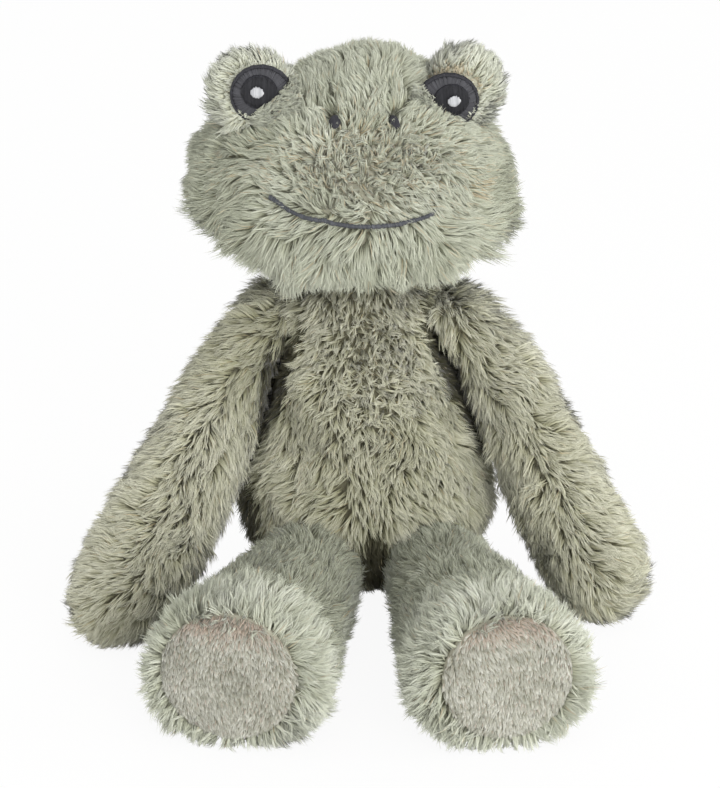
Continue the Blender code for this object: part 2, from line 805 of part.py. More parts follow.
def make_leg(name, side):
    """Leg and foot in one skin, closed in front by a short-pile sole."""
    pivot = hips[name]
    levels = leg_levels()
    skin = add_skin(f"leg_skin_{name}", levels, LIMB_SIDES, levels, pivot)
    inside = closed_form(levels, FILL_SIDES, PILE + GAP)
    filled = add_piece(f"leg_stuffing_{name}", inside, pivot)
    filling(filled)
    backward = Matrix.Rotation(-math.pi / 2, 4, "X")
    hole = as_cutter(add_piece(f"leg hole {name}", hole_mesh(LEG_HOLE, LEG_BALL), pivot))
    hole.matrix_local = backward
    seat_mesh = disc_mesh(SOLE_HALF_WIDTH + GAP, SOLE_HALF_HEIGHT + GAP, OVERRUN, RING_SIDES)
    seat = as_cutter(add_piece(f"sole seat {name}", seat_mesh, pivot))
    seat.matrix_local = sole_matrix(LEG_LENGTH - SOLE_THICKNESS - GAP)
    window_mesh = disc_mesh(
        SOLE_HALF_WIDTH - SOLE_LIP, SOLE_HALF_HEIGHT - SOLE_LIP, OVERRUN, FILL_SIDES
    )
    window = as_cutter(add_piece(f"sole window {name}", window_mesh, pivot))
    window.matrix_local = sole_matrix(LEG_LENGTH - PILE - SOLE_THICKNESS)
    belly = lifted_torso(name)
    cut(skin, belly, hole, seat, window, floor)
    cut(filled, belly)
    sole = add_piece(
        f"sole_{name}",
        disc_mesh(SOLE_HALF_WIDTH, SOLE_HALF_HEIGHT, SOLE_THICKNESS, RING_SIDES),
        pivot,
    )
    sole.matrix_local = sole_matrix(LEG_LENGTH - SOLE_THICKNESS)
    paint(sole, (0.50, 0.46, 0.38), 0.9)
    seam = add_piece(f"hip_seam_{name}", seam_ring(LEG_BALL, HIP_SEAM_ANGLE), pivot)
    seam.matrix_local = backward
    thread(seam)


def sole_matrix(distance):
    """Lay a disc square to the leg at a distance along it, its face ahead."""
    face_ahead = Matrix.Rotation(-math.pi / 2, 4, "X")
    return Matrix.Translation(Vector((0.0, SOLE_RISE, distance))) @ face_ahead


def make_neck_seam():
    seam = add_piece("neck_seam", seam_ring(NECK_RADIUS, NECK_SEAM_ANGLE), neck)
    seam.matrix_local = Matrix.Rotation(math.pi / 2, 4, "X")
    thread(seam)


make_torso()
make_back_seam()
make_neck_seam()
head_outside = make_head()
make_mouth()
for name, side in SIDES.items():
    make_eye(name, side, head_outside)
    make_nostril(name, side)
    make_arm(name, side)
    make_leg(name, side)
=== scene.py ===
"""Looks of a sitting plush frog: long-pile fur, embroidered face, short-pile soles."""
import json
import math

import bmesh
import bpy
import numpy as np
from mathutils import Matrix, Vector
from mathutils.bvhtree import BVHTree
from mathutils.kdtree import KDTree


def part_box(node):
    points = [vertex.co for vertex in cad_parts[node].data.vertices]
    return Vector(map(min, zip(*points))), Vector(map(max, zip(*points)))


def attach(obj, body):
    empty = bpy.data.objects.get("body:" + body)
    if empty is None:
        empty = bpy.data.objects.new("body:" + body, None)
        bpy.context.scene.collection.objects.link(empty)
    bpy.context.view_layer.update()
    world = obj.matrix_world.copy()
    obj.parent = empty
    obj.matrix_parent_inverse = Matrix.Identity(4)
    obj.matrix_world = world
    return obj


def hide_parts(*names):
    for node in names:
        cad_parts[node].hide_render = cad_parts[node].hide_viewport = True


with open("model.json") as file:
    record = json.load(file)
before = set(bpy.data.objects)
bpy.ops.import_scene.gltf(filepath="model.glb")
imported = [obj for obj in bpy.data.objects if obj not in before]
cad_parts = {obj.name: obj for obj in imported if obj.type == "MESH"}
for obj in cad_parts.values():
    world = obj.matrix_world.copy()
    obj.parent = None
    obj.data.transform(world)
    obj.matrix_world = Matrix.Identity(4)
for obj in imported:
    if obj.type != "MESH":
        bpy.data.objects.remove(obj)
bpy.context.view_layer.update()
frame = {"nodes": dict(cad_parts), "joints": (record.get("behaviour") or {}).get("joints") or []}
scene = bpy.context.scene
scene.view_settings.view_transform = "Standard"

# Camera
# The photograph looks down at the toy a little, from straight ahead and some way off, so
# that near and far parts keep nearly the same size.
CAMERA_DISTANCE = 1.30
CAMERA_ELEVATION = math.radians(20.0)
CAMERA_TARGET = Vector((-0.0029, 0.0, 0.0759))
FRAME_HEIGHT = 0.2837  # height of the view at the target
SENSOR = 36.0  # mm, along the frame's long side

camera_data = bpy.data.cameras.new("camera")
camera_data.sensor_width = SENSOR
camera_data.lens = SENSOR * CAMERA_DISTANCE / FRAME_HEIGHT
camera = bpy.data.objects.new("camera", camera_data)
scene.collection.objects.link(camera)
view_line = Vector((0.0, -math.cos(CAMERA_ELEVATION), math.sin(CAMERA_ELEVATION)))
camera.location = CAMERA_TARGET + view_line * CAMERA_DISTANCE
camera.rotation_euler = view_line.to_track_quat("Z", "Y").to_euler()
scene.camera = camera


# Floor and light
# A white sweep that shows the toy's soft shadow, two broad lamps in front and at the side,
# and an even white room that fills the shadows.
FLOOR_SIZE = 12.0
FLOOR_WHITE = "#F4F4F2"
PLAIN_WHITE = 0.93  # how much of the paper the camera sees as plain white
ROOM_LIGHT = ((0.0, 2.3), (0.32, 1.15), (0.5, 0.46), (1.0, 1.16))  # behind the toy to in front
LAMP_SIZE = 0.8
LAMPS = (("key lamp", 11.6, (0.50, -1.35, 0.55)), ("side lamp", 3.0, (1.1, -0.3, 0.6)))


def linear(code):
    """A colour written as sRGB hex, as the linear values that a shader takes."""
    values = [int(code[i : i + 2], 16) / 255 for i in (1, 3, 5)]
    steps = [v / 12.92 if v <= 0.04045 else ((v + 0.055) / 1.055) ** 2.4 for v in values]
    return (*steps, 1.0)


def add_node(tree, kind, settings=None):
    """Add a node, set its properties, sockets and ramp stops, and link what feeds it."""
    node = tree.nodes.new(kind)
    for key, value in (settings or {}).items():
        if key == "stops":
            while len(node.color_ramp.elements) < len(value):
                node.color_ramp.elements.new(0.5)
            for element, (position, colour) in zip(node.color_ramp.elements, value):
                element.position = position
                element.color = linear(colour) if isinstance(colour, str) else colour
        elif isinstance(value, bpy.types.NodeSocket):
            tree.links.new(value, node.inputs[key])
        elif hasattr(node, str(key)):
            setattr(node, key, value)
        else:
            node.inputs[key].default_value = value
    return node


def new_material(name):
    material = bpy.data.materials.new(name)
    material.use_nodes = True
    material.node_tree.nodes.clear()
    return material, material.node_tree


# Matt white photo paper: it shows as plain white and keeps the toy's shadow
floor_material, tree = new_material("matt white paper")
paper = add_node(tree, "ShaderNodeBsdfDiffuse", {"Color": linear(FLOOR_WHITE)})
glow = add_node(tree, "ShaderNodeEmission", {"Color": linear("#FFFFFF"), "Strength": 1.0})
rays = add_node(tree, "ShaderNodeLightPath").outputs["Is Camera Ray"]
share = add_node(tree, "ShaderNodeMath", {"operation": "MULTIPLY", 0: rays, 1: PLAIN_WHITE})
both = {0: share.outputs[0], 1: paper.outputs[0], 2: glow.outputs[0]}
both = add_node(tree, "ShaderNodeMixShader", both)
add_node(tree, "ShaderNodeOutputMaterial", {"Surface": both.outputs[0]})

half = FLOOR_SIZE / 2
corners = [(-half, -half, 0.0), (half, -half, 0.0), (half, half, 0.0), (-half, half, 0.0)]
floor_mesh = bpy.data.meshes.new("floor")
floor_mesh.from_pydata(corners, [], [(0, 1, 2, 3)])
floor_mesh.materials.append(floor_material)
floor = bpy.data.objects.new("floor", floor_mesh)
scene.collection.objects.link(floor)

world = bpy.data.worlds.new("white room")
world.use_nodes = True
scene.world = world
tree = world.node_tree
tree.nodes.clear()
place = add_node(tree, "ShaderNodeTexCoord").outputs["Generated"]
facing = {"operation": "DOT_PRODUCT", 0: place, 1: view_line}
facing = add_node(tree, "ShaderNodeVectorMath", facing).outputs["Value"]
height = add_node(tree, "ShaderNodeMapRange", {0: facing, 1: -1.0, 2: 1.0})
stops = [(position, (level, level, level, 1.0)) for position, level in ROOM_LIGHT]
level = add_node(tree, "ShaderNodeValToRGB", {"Fac": height.outputs[0], "stops": stops})
lit = add_node(tree, "ShaderNodeBackground", {"Strength": 1.0, "Color": level.outputs[0]})
shown = add_node(tree, "ShaderNodeBackground", {"Color": linear("#FFFFFF"), "Strength": 1.0})
rays = add_node(tree, "ShaderNodeLightPath").outputs["Is Camera Ray"]
both = {0: rays, 1: lit.outputs[0], 2: shown.outputs[0]}
both = add_node(tree, "ShaderNodeMixShader", both)
add_node(tree, "ShaderNodeOutputWorld", {"Surface": both.outputs[0]})

for name, power, place in LAMPS:
    data = bpy.data.lights.new(name, "AREA")
    data.energy = power
    data.size = LAMP_SIZE
    lamp = bpy.data.objects.new(name, data)
    scene.collection.objects.link(lamp)
    lamp.location = place
    lamp.rotation_euler = (Vector(place) - CAMERA_TARGET).to_track_quat("Z", "Y").to_euler()


# Body
# A pear of fur fabric, stuffed firm over a pouch of pellets. The pile is acrylic plush,
# about 9 mm long, that lies in pointed locks; the knitted backing shows as dark gaps, its
# dark tone partly painted shade for the gaps between locks.
TORSO_PILE = 0.0088  # fibre length
TORSO_DEPTH = 0.0046  # backing below the outline that the pile makes
TORSO_LOCK_GAP = 0.00172  # from one lock to the next
FIBRE_WIDTH = 0.00038  # several real fibres, drawn as one that a render can show
HAIRS = 5  # drawn fibres in a lock
SPREAD = 0.0010  # how far a lock's roots stand about its middle
ROWS = np.array([0.0, 0.40, 0.75, 1.0])  # where a fibre's three rings and tip stand
TAPER = np.array([1.0, 0.95, 0.68])  # how wide each ring is
FIBRE_LIMIT = 12400  # fibres in one mesh
MAP_STEP = 0.0022  # a fibre's width in the map of tones
FLOOR_GAP = 0.0003  # nothing hangs lower than this
TUFT = 0.0060  # several locks that lean together
# How far apart the combing, its strays, the sway and the tone differ
PATCHES = {"comb": 0.018, "stray": 0.0055, "sway": 0.010, "tone": 0.014}
# A drawn fibre stands for a soft bundle, so its shading leans towards its lock and coat
OWN_SHARE = 0.40
LOCK_SHARE = 0.45
COAT_SHARE = 0.75

# How the pile was brushed, seen from in front: across and rise in shares of the body,
# then which way the tips point
TORSO_BRUSH_SHARES = (
    (-0.70, 0.90, -0.3, -1.0),
    (-0.80, 0.50, -0.25, -1.0),
    (-0.80, 0.25, -0.15, -1.0),
    (-0.35, 0.75, -0.1, -1.0),
    (-0.40, 0.45, -0.4, -1.0),
    (-0.35, 0.25, -0.3, -1.0),
    (0.00, 0.90, 0.0, -1.0),
    (-0.12, 0.50, -0.5, -0.85),
    (0.14, 0.50, 0.25, -1.0),
    (0.50, 0.80, 0.35, -0.9),
    (0.50, 0.50, 0.12, -1.0),
    (0.50, 0.25, 0.05, -1.0),
    (0.90, 0.50, 0.3, -1.0),
    (0.95, 0.30, 0.4, -0.9),
    (0.00, 0.10, 0.05, -1.0),
)


def unit(vectors):
    return vectors / np.maximum(np.linalg.norm(vectors, axis=-1, keepdims=True), 1e-9)


def along(a, b):
    return np.sum(a * b, axis=-1, keepdims=True)


def corners_of(node):
    return [np.array(corner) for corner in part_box(node)]


def vertex_rows(mesh, what):
    """A value of each of a mesh's points, such as its place, one row to a point."""
    rows = np.empty(len(mesh.vertices) * 3)
    mesh.vertices.foreach_get(what, rows)
    return rows.reshape(-1, 3)


def ease(low, high, values):
    """0 up to low and 1 from high, with a soft rise between."""
    share = np.clip((values - low) / (high - low), 0.0, 1.0)
    return share * share * (3.0 - 2.0 * share)


def hump(values, middle, reach):
    """1 at the middle, and nearly 0 from twice the reach away."""
    return np.exp(-(((values - middle) / reach) ** 2))


def drift(points, size, seed):
    """A smooth field between about -1 and 1, in patches of a size."""
    rng = np.random.default_rng(seed)
    total = np.zeros(len(points))
    for _ in range(7):
        wave = unit(rng.normal(size=3)) * math.tau / (size * rng.uniform(1.5, 3.0))
        total += np.sin(points @ wave + rng.uniform(0.0, math.tau))
    return total / 3.2


class Form:
    """A stuffed form's outline: points, triangles, normals, and what is near or inside."""

    def __init__(self, name, nodes, cell, rounds=6, lean=None):
        mesh = bmesh.new()
        for node in nodes:
            for vert in frame["nodes"][node].data.vertices:
                mesh.verts.new(vert.co)
        hull = bmesh.ops.convex_hull(mesh, input=mesh.verts)
        inner = [v for v in hull["geom_interior"] if isinstance(v, bmesh.types.BMVert)]
        bmesh.ops.delete(mesh, geom=inner, context="VERTS")
        bmesh.ops.recalc_face_normals(mesh, faces=mesh.faces)
        data = bpy.data.meshes.new(name)
        mesh.to_mesh(data)
        mesh.free()
        rough = bpy.data.objects.new(name, data)
        scene.collection.objects.link(rough)
        remesh = rough.modifiers.new("even cells", "REMESH")
        remesh.mode = "VOXEL"
        remesh.voxel_size = cell
        soften = rough.modifiers.new("round off", "SMOOTH")
        soften.iterations = rounds
        deps = bpy.context.evaluated_depsgraph_get()
        self.mesh = bpy.data.meshes.new_from_object(rough.evaluated_get(deps))
        bpy.data.objects.remove(rough)
        self.points = vertex_rows(self.mesh, "co")
        if lean is not None:
            self.points += lean(self.points)
            self.mesh.vertices.foreach_set("co", self.points.ravel())
            self.mesh.update()
        self.normals = vertex_rows(self.mesh, "normal")
        self.low = self.points.min(axis=0)
        self.high = self.points.max(axis=0)
        self.middle = (self.low + self.high) / 2
        polygons = [tuple(p.vertices) for p in self.mesh.polygons]
        self.tree = BVHTree.FromPolygons([Vector(p) for p in self.points], polygons)

    def inside(self, points):
        """How deep each point lies inside the form; below zero it lies outside."""
        depths = np.empty(len(points))
        for i, point in enumerate(points):
            place, normal, _, distance = self.tree.find_nearest(point)
            sign = 1.0 if (place - Vector(point)).dot(normal) > 0 else -1.0
            depths[i] = sign * distance
        return depths


def brushed(form, shares, points, reach=0.35):
    """Read the hand-brushed directions at each point, seen from in front."""
    half = (form.high - form.low) / 2
    across = (points[:, 0] - form.middle[0]) / half[0]
    rise = (points[:, 2] - form.low[2]) / (2 * half[2])
    towards = np.zeros((len(points), 3))
    for stroke_across, stroke_rise, to_side, to_top in shares:
        away = (across - stroke_across) ** 2 + (2 * (rise - stroke_rise)) ** 2
        weight = np.exp(-away / (2 * reach**2))
        length = math.hypot(to_side, to_top)
        towards[:, 0] += weight * to_side / length
        towards[:, 2] += weight * to_top / length
    return towards


def turned(comb, normals, angles):
    """Turn each comb direction about its normal."""
    side = np.cross(normals, comb)
    return comb * np.cos(angles)[:, None] + side * np.sin(angles)[:, None]


def gather(points, comb, size, seed):
    """Which tuft each lock belongs to, and the way from its root to the tuft's tip."""
    rng = np.random.default_rng(seed)
    count = max(int(len(points) * (TORSO_LOCK_GAP / size) ** 2), 1)
    chosen = rng.choice(len(points), count, replace=False)
    tree = KDTree(count)
    for number, point in enumerate(points[chosen]):
        tree.insert(point, number)
    tree.balance()
    tuft = np.array([tree.find(point)[1] for point in points])
    tips = points[chosen] + comb[chosen] * size
    return tuft, count, (tips[tuft] - points) / size


def lay_locks(form, depth, towards, wander, seed, tousle=0.0, size=TUFT, pull=1.6):
    """One lock at each cell of the form, rooted below it and combed along it.

    Tousle, from 0 to 1, is how far the locks curl and point at random.
    """
    rng = np.random.default_rng(seed)
    count = len(form.points)
    normals = form.normals
    flat = towards - normals * along(towards, normals)
    loose = np.linalg.norm(flat, axis=1) < 0.05
    flat[loose] += np.cross(normals[loose], (1.0, 0.0, 0.0))
    comb = unit(flat)
    angles = wander * drift(form.points, PATCHES["comb"], seed + 1)
    angles = angles + rng.normal(0.0, 0.20, count)
    angles += 0.35 * drift(form.points, PATCHES["stray"], seed + 5)
    angles += 1.4 * tousle * rng.normal(0.0, 1.0, count)
    comb = turned(comb, normals, angles)
    tuft, tufts, to_tip = gather(form.points, comb, size, seed + 7)
    to_tip = to_tip - normals * along(to_tip, normals)
    pull = pull * (1.0 - 0.7 * np.clip(tousle, 0.0, 1.0))
    comb = unit(comb + np.reshape(pull, (-1, 1)) * to_tip)
    comb = turned(comb, normals, 0.16 * rng.normal(0.0, 1.0, tufts)[tuft])
    tuft_length = 1.0 + 0.09 * rng.normal(0.0, 1.0, tufts)[tuft]
    tuft_end = 0.11 * rng.normal(0.0, 1.0, tufts)[tuft]
    tuft_tone = 0.07 * rng.normal(0.0, 1.0, tufts)[tuft]
    jitter = rng.uniform(-0.5, 0.5, (count, 2))
    side = np.cross(normals, comb)
    roots = form.points - normals * depth
    roots = roots + TORSO_LOCK_GAP * (comb * jitter[:, :1] + side * jitter[:, 1:])
    length = (1.0 - 0.25 * tousle) * rng.uniform(0.86, 1.12, count) * tuft_length
    end = 1.25 + tuft_end - 0.35 * tousle + (0.12 + 0.4 * tousle) * rng.normal(0.0, 1.0, count)
    sway = (0.08 + 0.30 * tousle) * rng.normal(0.0, 1.0, count)
    hug = np.clip(rng.normal(0.84, 0.06, count), 0.5, 0.97)
    tone = 0.5 + 0.16 * drift(form.points, PATCHES["tone"], seed + 3) + tuft_tone
    return {
        "root": roots,
        "normal": normals,
        "comb": comb,
        "length": length,
        "start": np.full(count, 0.15),  # angles over the backing at root and tip
        "end": end,
        "sway": 0.22 * drift(form.points, PATCHES["sway"], seed + 2) + sway,
        "hug": hug,  # how far a lock's fibres close up towards its tip
        "tone": tone + rng.normal(0.0, 0.09, count),
        "tan": np.full(count, 0.015),  # share of tan fibres
    }


def keep(locks, mask):
    return {key: values[mask] for key, values in locks.items()}


def shade_fold(locks, share, darker, shorter=0.0):
    """Fur where parts meet: shorter, and its tone darkened as painted shade."""
    locks["tone"] -= darker * share
    locks["length"] *= 1.0 - shorter * share


def lay_map(mesh, u, v):
    """Write the map that the strands' colours are read from."""
    layer = mesh.uv_layers.new(name="OFBake")
    layer.data.foreach_set("uv", np.stack([u, v], axis=-1).astype(np.float32).ravel())


def add_piece(name, mesh, material, body):
    """Put a mesh in the scene as a piece of the toy."""
    mesh.materials.clear()
    mesh.materials.append(material)
    piece = bpy.data.objects.new(name, mesh)
    scene.collection.objects.link(piece)
    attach(piece, body)
    return piece


def add_fur(name, locks, body, material, slot, seed, hairs=HAIRS, width=FIBRE_WIDTH, spread=SPREAD):
    """Build every fibre of the locks as a closed, tapered, curved solid."""
    pieces = math.ceil(len(locks["root"]) * hairs / FIBRE_LIMIT)
    middle = locks["root"].mean(axis=0)
    around = np.arctan2(locks["root"][:, 0] - middle[0], -(locks["root"][:, 1] - middle[1]))
    order = np.argsort(around, kind="stable")
    for number, part in enumerate(np.array_split(order, pieces), start=1):
        label = name if pieces == 1 else f"{name}_{number}"
        mesh = fibre_mesh(label, keep(locks, part), seed + number, hairs, width, spread)
        add_piece(label, mesh, material, body)


def fibre_mesh(name, locks, seed, hairs, width, spread):
    """Each fibre bends in an arc, from its start angle to its end angle over the backing."""
    rng = np.random.default_rng(seed)
    count = len(locks["root"])
    shape = (count, hairs)
    normal = locks["normal"][:, None, :]
    comb = locks["comb"][:, None, :]
    side = np.cross(normal, comb)
    turn = rng.uniform(0.0, math.tau, shape)[..., None]
    away = (spread * np.sqrt(rng.uniform(0.0, 1.0, shape)))[..., None]
    offset = away * (np.cos(turn) * comb + np.sin(turn) * side)
    length = (locks["length"][:, None] * rng.uniform(0.84, 1.06, shape))[..., None]
    start = (locks["start"][:, None] + rng.normal(0.0, 0.10, shape))[..., None]
    end = (locks["end"][:, None] + rng.normal(0.0, 0.13, shape))[..., None]
    bend = np.where(np.abs(end - start) < 0.05, 0.05, end - start)
    sway = (locks["sway"][:, None] + rng.normal(0.0, 0.05, shape))[..., None]
    hug = locks["hug"][:, None, None]
    roll = rng.uniform(0.0, math.tau, shape)[..., None]
    tip = 3 * len(TAPER)
    points = np.empty((count, hairs, tip + 1, 3))
    shading = np.empty((count, hairs, tip + 1, 3))
    for row, at in enumerate(ROWS):
        angle = start + bend * at
        rise = length * (np.sin(angle) - np.sin(start)) / bend
        run = length * (np.cos(start) - np.cos(angle)) / bend
        place = locks["root"][:, None, :] + offset * (1.0 - hug * at**1.3)
        place = place + rise * normal + run * comb + sway * length * at**2 * side
        over = np.sin(angle) * normal - np.cos(angle) * comb
        coat = COAT_SHARE * over + LOCK_SHARE * (offset / spread)
        if row == len(TAPER):
            points[:, :, tip] = place
            shading[:, :, tip] = coat
            continue
        for corner in range(3):
            sector = roll + corner * math.tau / 3
            reach = width / 2 * TAPER[row]
            outward = np.cos(sector) * side + np.sin(sector) * over
            points[:, :, 3 * row + corner] = place + reach * outward
            shading[:, :, 3 * row + corner] = OWN_SHARE * outward + coat
    points[..., 2] = np.maximum(points[..., 2], FLOOR_GAP)

    faces = [(2, 1, 0)]
    for row in (0, 3):
        for corner in range(3):
            after = (corner + 1) % 3
            faces.append((row + corner, row + after, row + 3 + after, row + 3 + corner))
    for corner in range(3):
        faces.append((6 + corner, 6 + (corner + 1) % 3, tip))
    template = np.array([v for face in faces for v in face])
    sizes = np.array([len(face) for face in faces])
    fibres = count * hairs
    corners = (template[None, :] + (tip + 1) * np.arange(fibres)[:, None]).ravel()
    starts = np.concatenate(([0], np.cumsum(np.tile(sizes, fibres))[:-1]))

    mesh = bpy.data.meshes.new(name)
    mesh.vertices.add(fibres * (tip + 1))
    mesh.vertices.foreach_set("co", points.astype(np.float32).ravel())
    mesh.loops.add(len(corners))
    mesh.loops.foreach_set("vertex_index", corners.astype(np.int32))
    mesh.polygons.add(len(starts))
    mesh.polygons.foreach_set("loop_start", starts.astype(np.int32))
    mesh.update(calc_edges=True)
    mesh.shade_smooth()
    soft = mesh.attributes.new("custom_normal", "FLOAT_VECTOR", "POINT")
    soft.data.foreach_set("vector", unit(shading).astype(np.float32).ravel())

    # The map holds only tone across and root to tip upwards
    tone = np.clip(locks["tone"][:, None] + rng.normal(0.0, 0.09, shape), 0.0, 1.0)
    tan = locks["tan"][:, None] > rng.uniform(0.0, 1.0, shape)
    tone = np.where(tan, 0.92 + 0.08 * tone, 0.8 * tone)
    flat_u = []
    flat_v = []
    for face in faces:
        wraps = {v % 3 for v in face[:2]} >= {0, 2}
        for vert in face:
            column = 3 if wraps and vert % 3 == 0 else vert % 3
            flat_u.append(1.5 if vert == tip else column)
            flat_v.append(ROWS[vert // 3])
    flat_v[1] += 0.01
    u = tone.ravel()[:, None] * (1.0 - 4 * MAP_STEP) + np.array(flat_u)[None, :] * MAP_STEP
    v = np.broadcast_to(np.array(flat_v) * 0.98 + 0.01, u.shape)
    lay_map(mesh, u, v)
    return mesh


def strand_material(name, tones, shades, finish):
    """Pile or thread: each strand is of one tone and is shaded from end to end."""
    material, tree = new_material(name)
    place = add_node(tree, "ShaderNodeUVMap", {"uv_map": "OFBake"}).outputs[0]
    split = add_node(tree, "ShaderNodeSeparateXYZ", {"Vector": place})
    tone = add_node(tree, "ShaderNodeValToRGB", {"Fac": split.outputs["X"], "stops": tones})
    shade = add_node(tree, "ShaderNodeValToRGB", {"Fac": split.outputs["Y"], "stops": shades})
    mixed = {"data_type": "RGBA", "blend_type": "MULTIPLY", 0: 1.0}
    mixed = add_node(tree, "ShaderNodeMix", mixed | {6: tone.outputs[0], 7: shade.outputs[0]})
    finish = finish | {"Base Color": mixed.outputs[2]}
    shader = add_node(tree, "ShaderNodeBsdfPrincipled", finish)
    add_node(tree, "ShaderNodeOutputMaterial", {"Surface": shader.outputs[0]})
    return material


# Acrylic plush, woven, cut and brushed: matt fibres with a faint sheen, darkened towards
# the root with painted shade where they crowd, and here and there a tan one
PILE_FINISH = {
    "Roughness": 0.85,
    "Specular IOR Level": 0.25,
    "Sheen Weight": 0.25,
    "Sheen Roughness": 0.5,
}
# Tones of single fibres, dark to pale; the last two are the tan ones
TONE_STOPS = (0.0, 0.12, 0.28, 0.52, 0.80, 0.92, 1.0)
WARM_SAGE = "#545240 #A3A38A #BFBEA5 #CFCEB7 #DFDECA #C0B393 #CFC3A6".split()
COOL_SAGE = "#66675A #A5A894 #BFC2AE #CFD2C0 #DFE1D2 #C0B294 #CFC4AA".split()
# Painted shade along each fibre, darkest at the root where fibres crowd
ROOT_SHADE = ((0.0, "#A9A690"), (0.45, "#E2E1D2"), (0.85, "#FFFFFF"))
PALE_ROOT_SHADE = ((0.0, "#CDCBBD"), (0.35, "#F0EFE7"), (0.75, "#FFFFFF"))
tones = list(zip(TONE_STOPS, WARM_SAGE))
warm_pile = strand_material("acrylic plush, warm sage", tones, ROOT_SHADE, PILE_FINISH)
tones = list(zip(TONE_STOPS, COOL_SAGE))
cool_pile = strand_material("acrylic plush, pale sage", tones, PALE_ROOT_SHADE, PILE_FINISH)

KNIT_SCALE = 900.0  # patches of about 1.1 mm, one knitted loop


def backing_material(name, colour, dark):
    """Cloth or felt of a matt, slightly patchy colour, one patch to a loop."""
    material, tree = new_material(name)
    place = add_node(tree, "ShaderNodeTexCoord").outputs["Object"]
    noise = {"Vector": place, "Scale": KNIT_SCALE, "Detail": 3.0}
    noise = add_node(tree, "ShaderNodeTexNoise", noise).outputs["Fac"]
    stops = ((0.0, dark), (1.0, colour))
    ramp = add_node(tree, "ShaderNodeValToRGB", {"Fac": noise, "stops": stops}).outputs[0]
    finish = {"Roughness": 0.95, "Specular IOR Level": 0.1, "Base Color": ramp}
    shader = add_node(tree, "ShaderNodeBsdfPrincipled", finish)
    add_node(tree, "ShaderNodeOutputMaterial", {"Surface": shader.outputs[0]})
    return material


# Knitted polyester under dense underfur shows as soft dark gaps, its dark tone partly
# painted shade for the gaps between locks; sewing thread and the pellets' cotton pouch are
# matt and plain
backing = backing_material("knitted backing", "#8E8B74", "#6A6752")
pale_backing = backing_material("knitted backing under pale pile", "#BDBBA8", "#A09E8B")
seam_thread = backing_material("sage sewing thread", "#A9AA92", "#85866F")
pouch_cotton = backing_material("unbleached cotton", "#DAD5C6", "#C3BDAB")
for node in frame["nodes"]:
    if node.endswith("_seam") or "_seam_" in node:
        frame["nodes"][node].material_slots[0].material = seam_thread
frame["nodes"]["pellet_bag"].material_slots[0].material = pouch_cotton


def add_backing(name, skin, form, depth, body, material=backing):
    """The skin under the pile, over its filling: the form drawn in by the pile's depth."""
    mesh = form.mesh
    points = form.points - form.normals * depth
    points[:, 2] = np.maximum(points[:, 2], FLOOR_GAP)
    mesh.vertices.foreach_set("co", points.ravel())
    mesh.update()
    mesh.shade_smooth()
    piece = add_piece(name, mesh, material, body)
    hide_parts(skin, name.replace("backing", "stuffing"))


SIDES = {"left": 1.0, "right": -1.0}  # the toy's own; its left is on the image's right
forms = {}


def neck_lean(points):
    """The torso's fur spreads at the neck, where it fills the corners over the arms."""
    move = np.zeros_like(points)
    side = np.clip(points[:, 0] / 0.015, -1.0, 1.0)
    move[:, 0] = 0.0034 * side * ease(0.098, 0.114, points[:, 2])
    return move


forms["torso"] = Form("torso", ["torso_skin"], TORSO_LOCK_GAP, lean=neck_lean)

# Where a cheek is drawn in or stands out: side, how far across, height and reach
CHEEKS = (
    (-1.0, -0.0040, 0.1690, 0.0090),
    (-1.0, -0.0030, 0.1555, 0.0035),
    (-1.0, 0.0100, 0.1360, 0.0085),
    (1.0, -0.0004, 0.1600, 0.0160),
    (1.0, 0.0034, 0.1460, 0.0045),
    (1.0, -0.0085, 0.1350, 0.0070),
)


def head_lean(points):
    """The stuffing's unevenness: the crown leans to one side, the cheeks differ."""
    move = np.zeros_like(points)
    move[:, 0] = 0.0050 * ease(0.184, 0.203, points[:, 2])
    for side, across, height, reach in CHEEKS:
        cheek = ease(0.024, 0.044, side * points[:, 0])
        move[:, 0] += across * cheek * hump(points[:, 2], height, reach)
    jowl = ease(0.018, 0.030, np.abs(points[:, 0])) * np.sign(points[:, 0])
    move[:, 0] += 0.0022 * jowl * hump(points[:, 2], 0.116, 0.004)
    return move


forms["head"] = Form("head", ["head_skin"], TORSO_LOCK_GAP, lean=head_lean)

# How an arm's top is drawn in against the neck: how far across, how much more on its
# inner side, and how far its outer side bulges below
SHOULDERS = {"left": (-0.0098, 0.6, 0.0016), "right": (0.0062, 0.4, 0.0)}


def shoulder_lean(hand):
    """The fur at an arm's top is pressed in against the neck."""
    across, inside, bulge = SHOULDERS[hand]

    def lean(points):
        move = np.zeros_like(points)
        top = ease(0.088, 0.115, points[:, 2])
        inner = ease(0.048, 0.030, np.abs(points[:, 0]))
        outer = ease(0.045, 0.055, np.abs(points[:, 0]))
        move[:, 0] = across * top * (1.0 + inside * inner)
        move[:, 0] += bulge * SIDES[hand] * outer * hump(points[:, 2], 0.096, 0.016)
        move[:, 2] = 0.0048 * top
        if hand == "right":
            move[:, 0] -= 0.0022 * ease(0.030, 0.008, points[:, 2])
        return move

    return lean


for hand in SIDES:
    skin = [f"arm_skin_{hand}"]
    lean = shoulder_lean(hand)
    forms[f"arm_{hand}"] = Form(f"arm {hand}", skin, TORSO_LOCK_GAP, lean=lean)
    skin = [f"leg_skin_{hand}", f"sole_{hand}"]
    forms[f"leg_{hand}"] = Form(f"leg {hand}", skin, TORSO_LOCK_GAP)
    forms[f"pod_{hand}"] = Form(f"pod {hand}", [f"eye_pod_{hand}"], 0.0016, rounds=3)


def clear_of(form_name, margin, others):
    """Which cells of a form aren't buried in the other forms."""
    form = forms[form_name]
    free = np.ones(len(form.points), dtype=bool)
    for other in others:
        rival = forms[other]
        near = (form.points > rival.low - margin) & (form.points < rival.high + margin)
        index = np.nonzero(near.all(axis=1) & free)[0]
        free[index] = rival.inside(form.points[index]) < margin
    return free


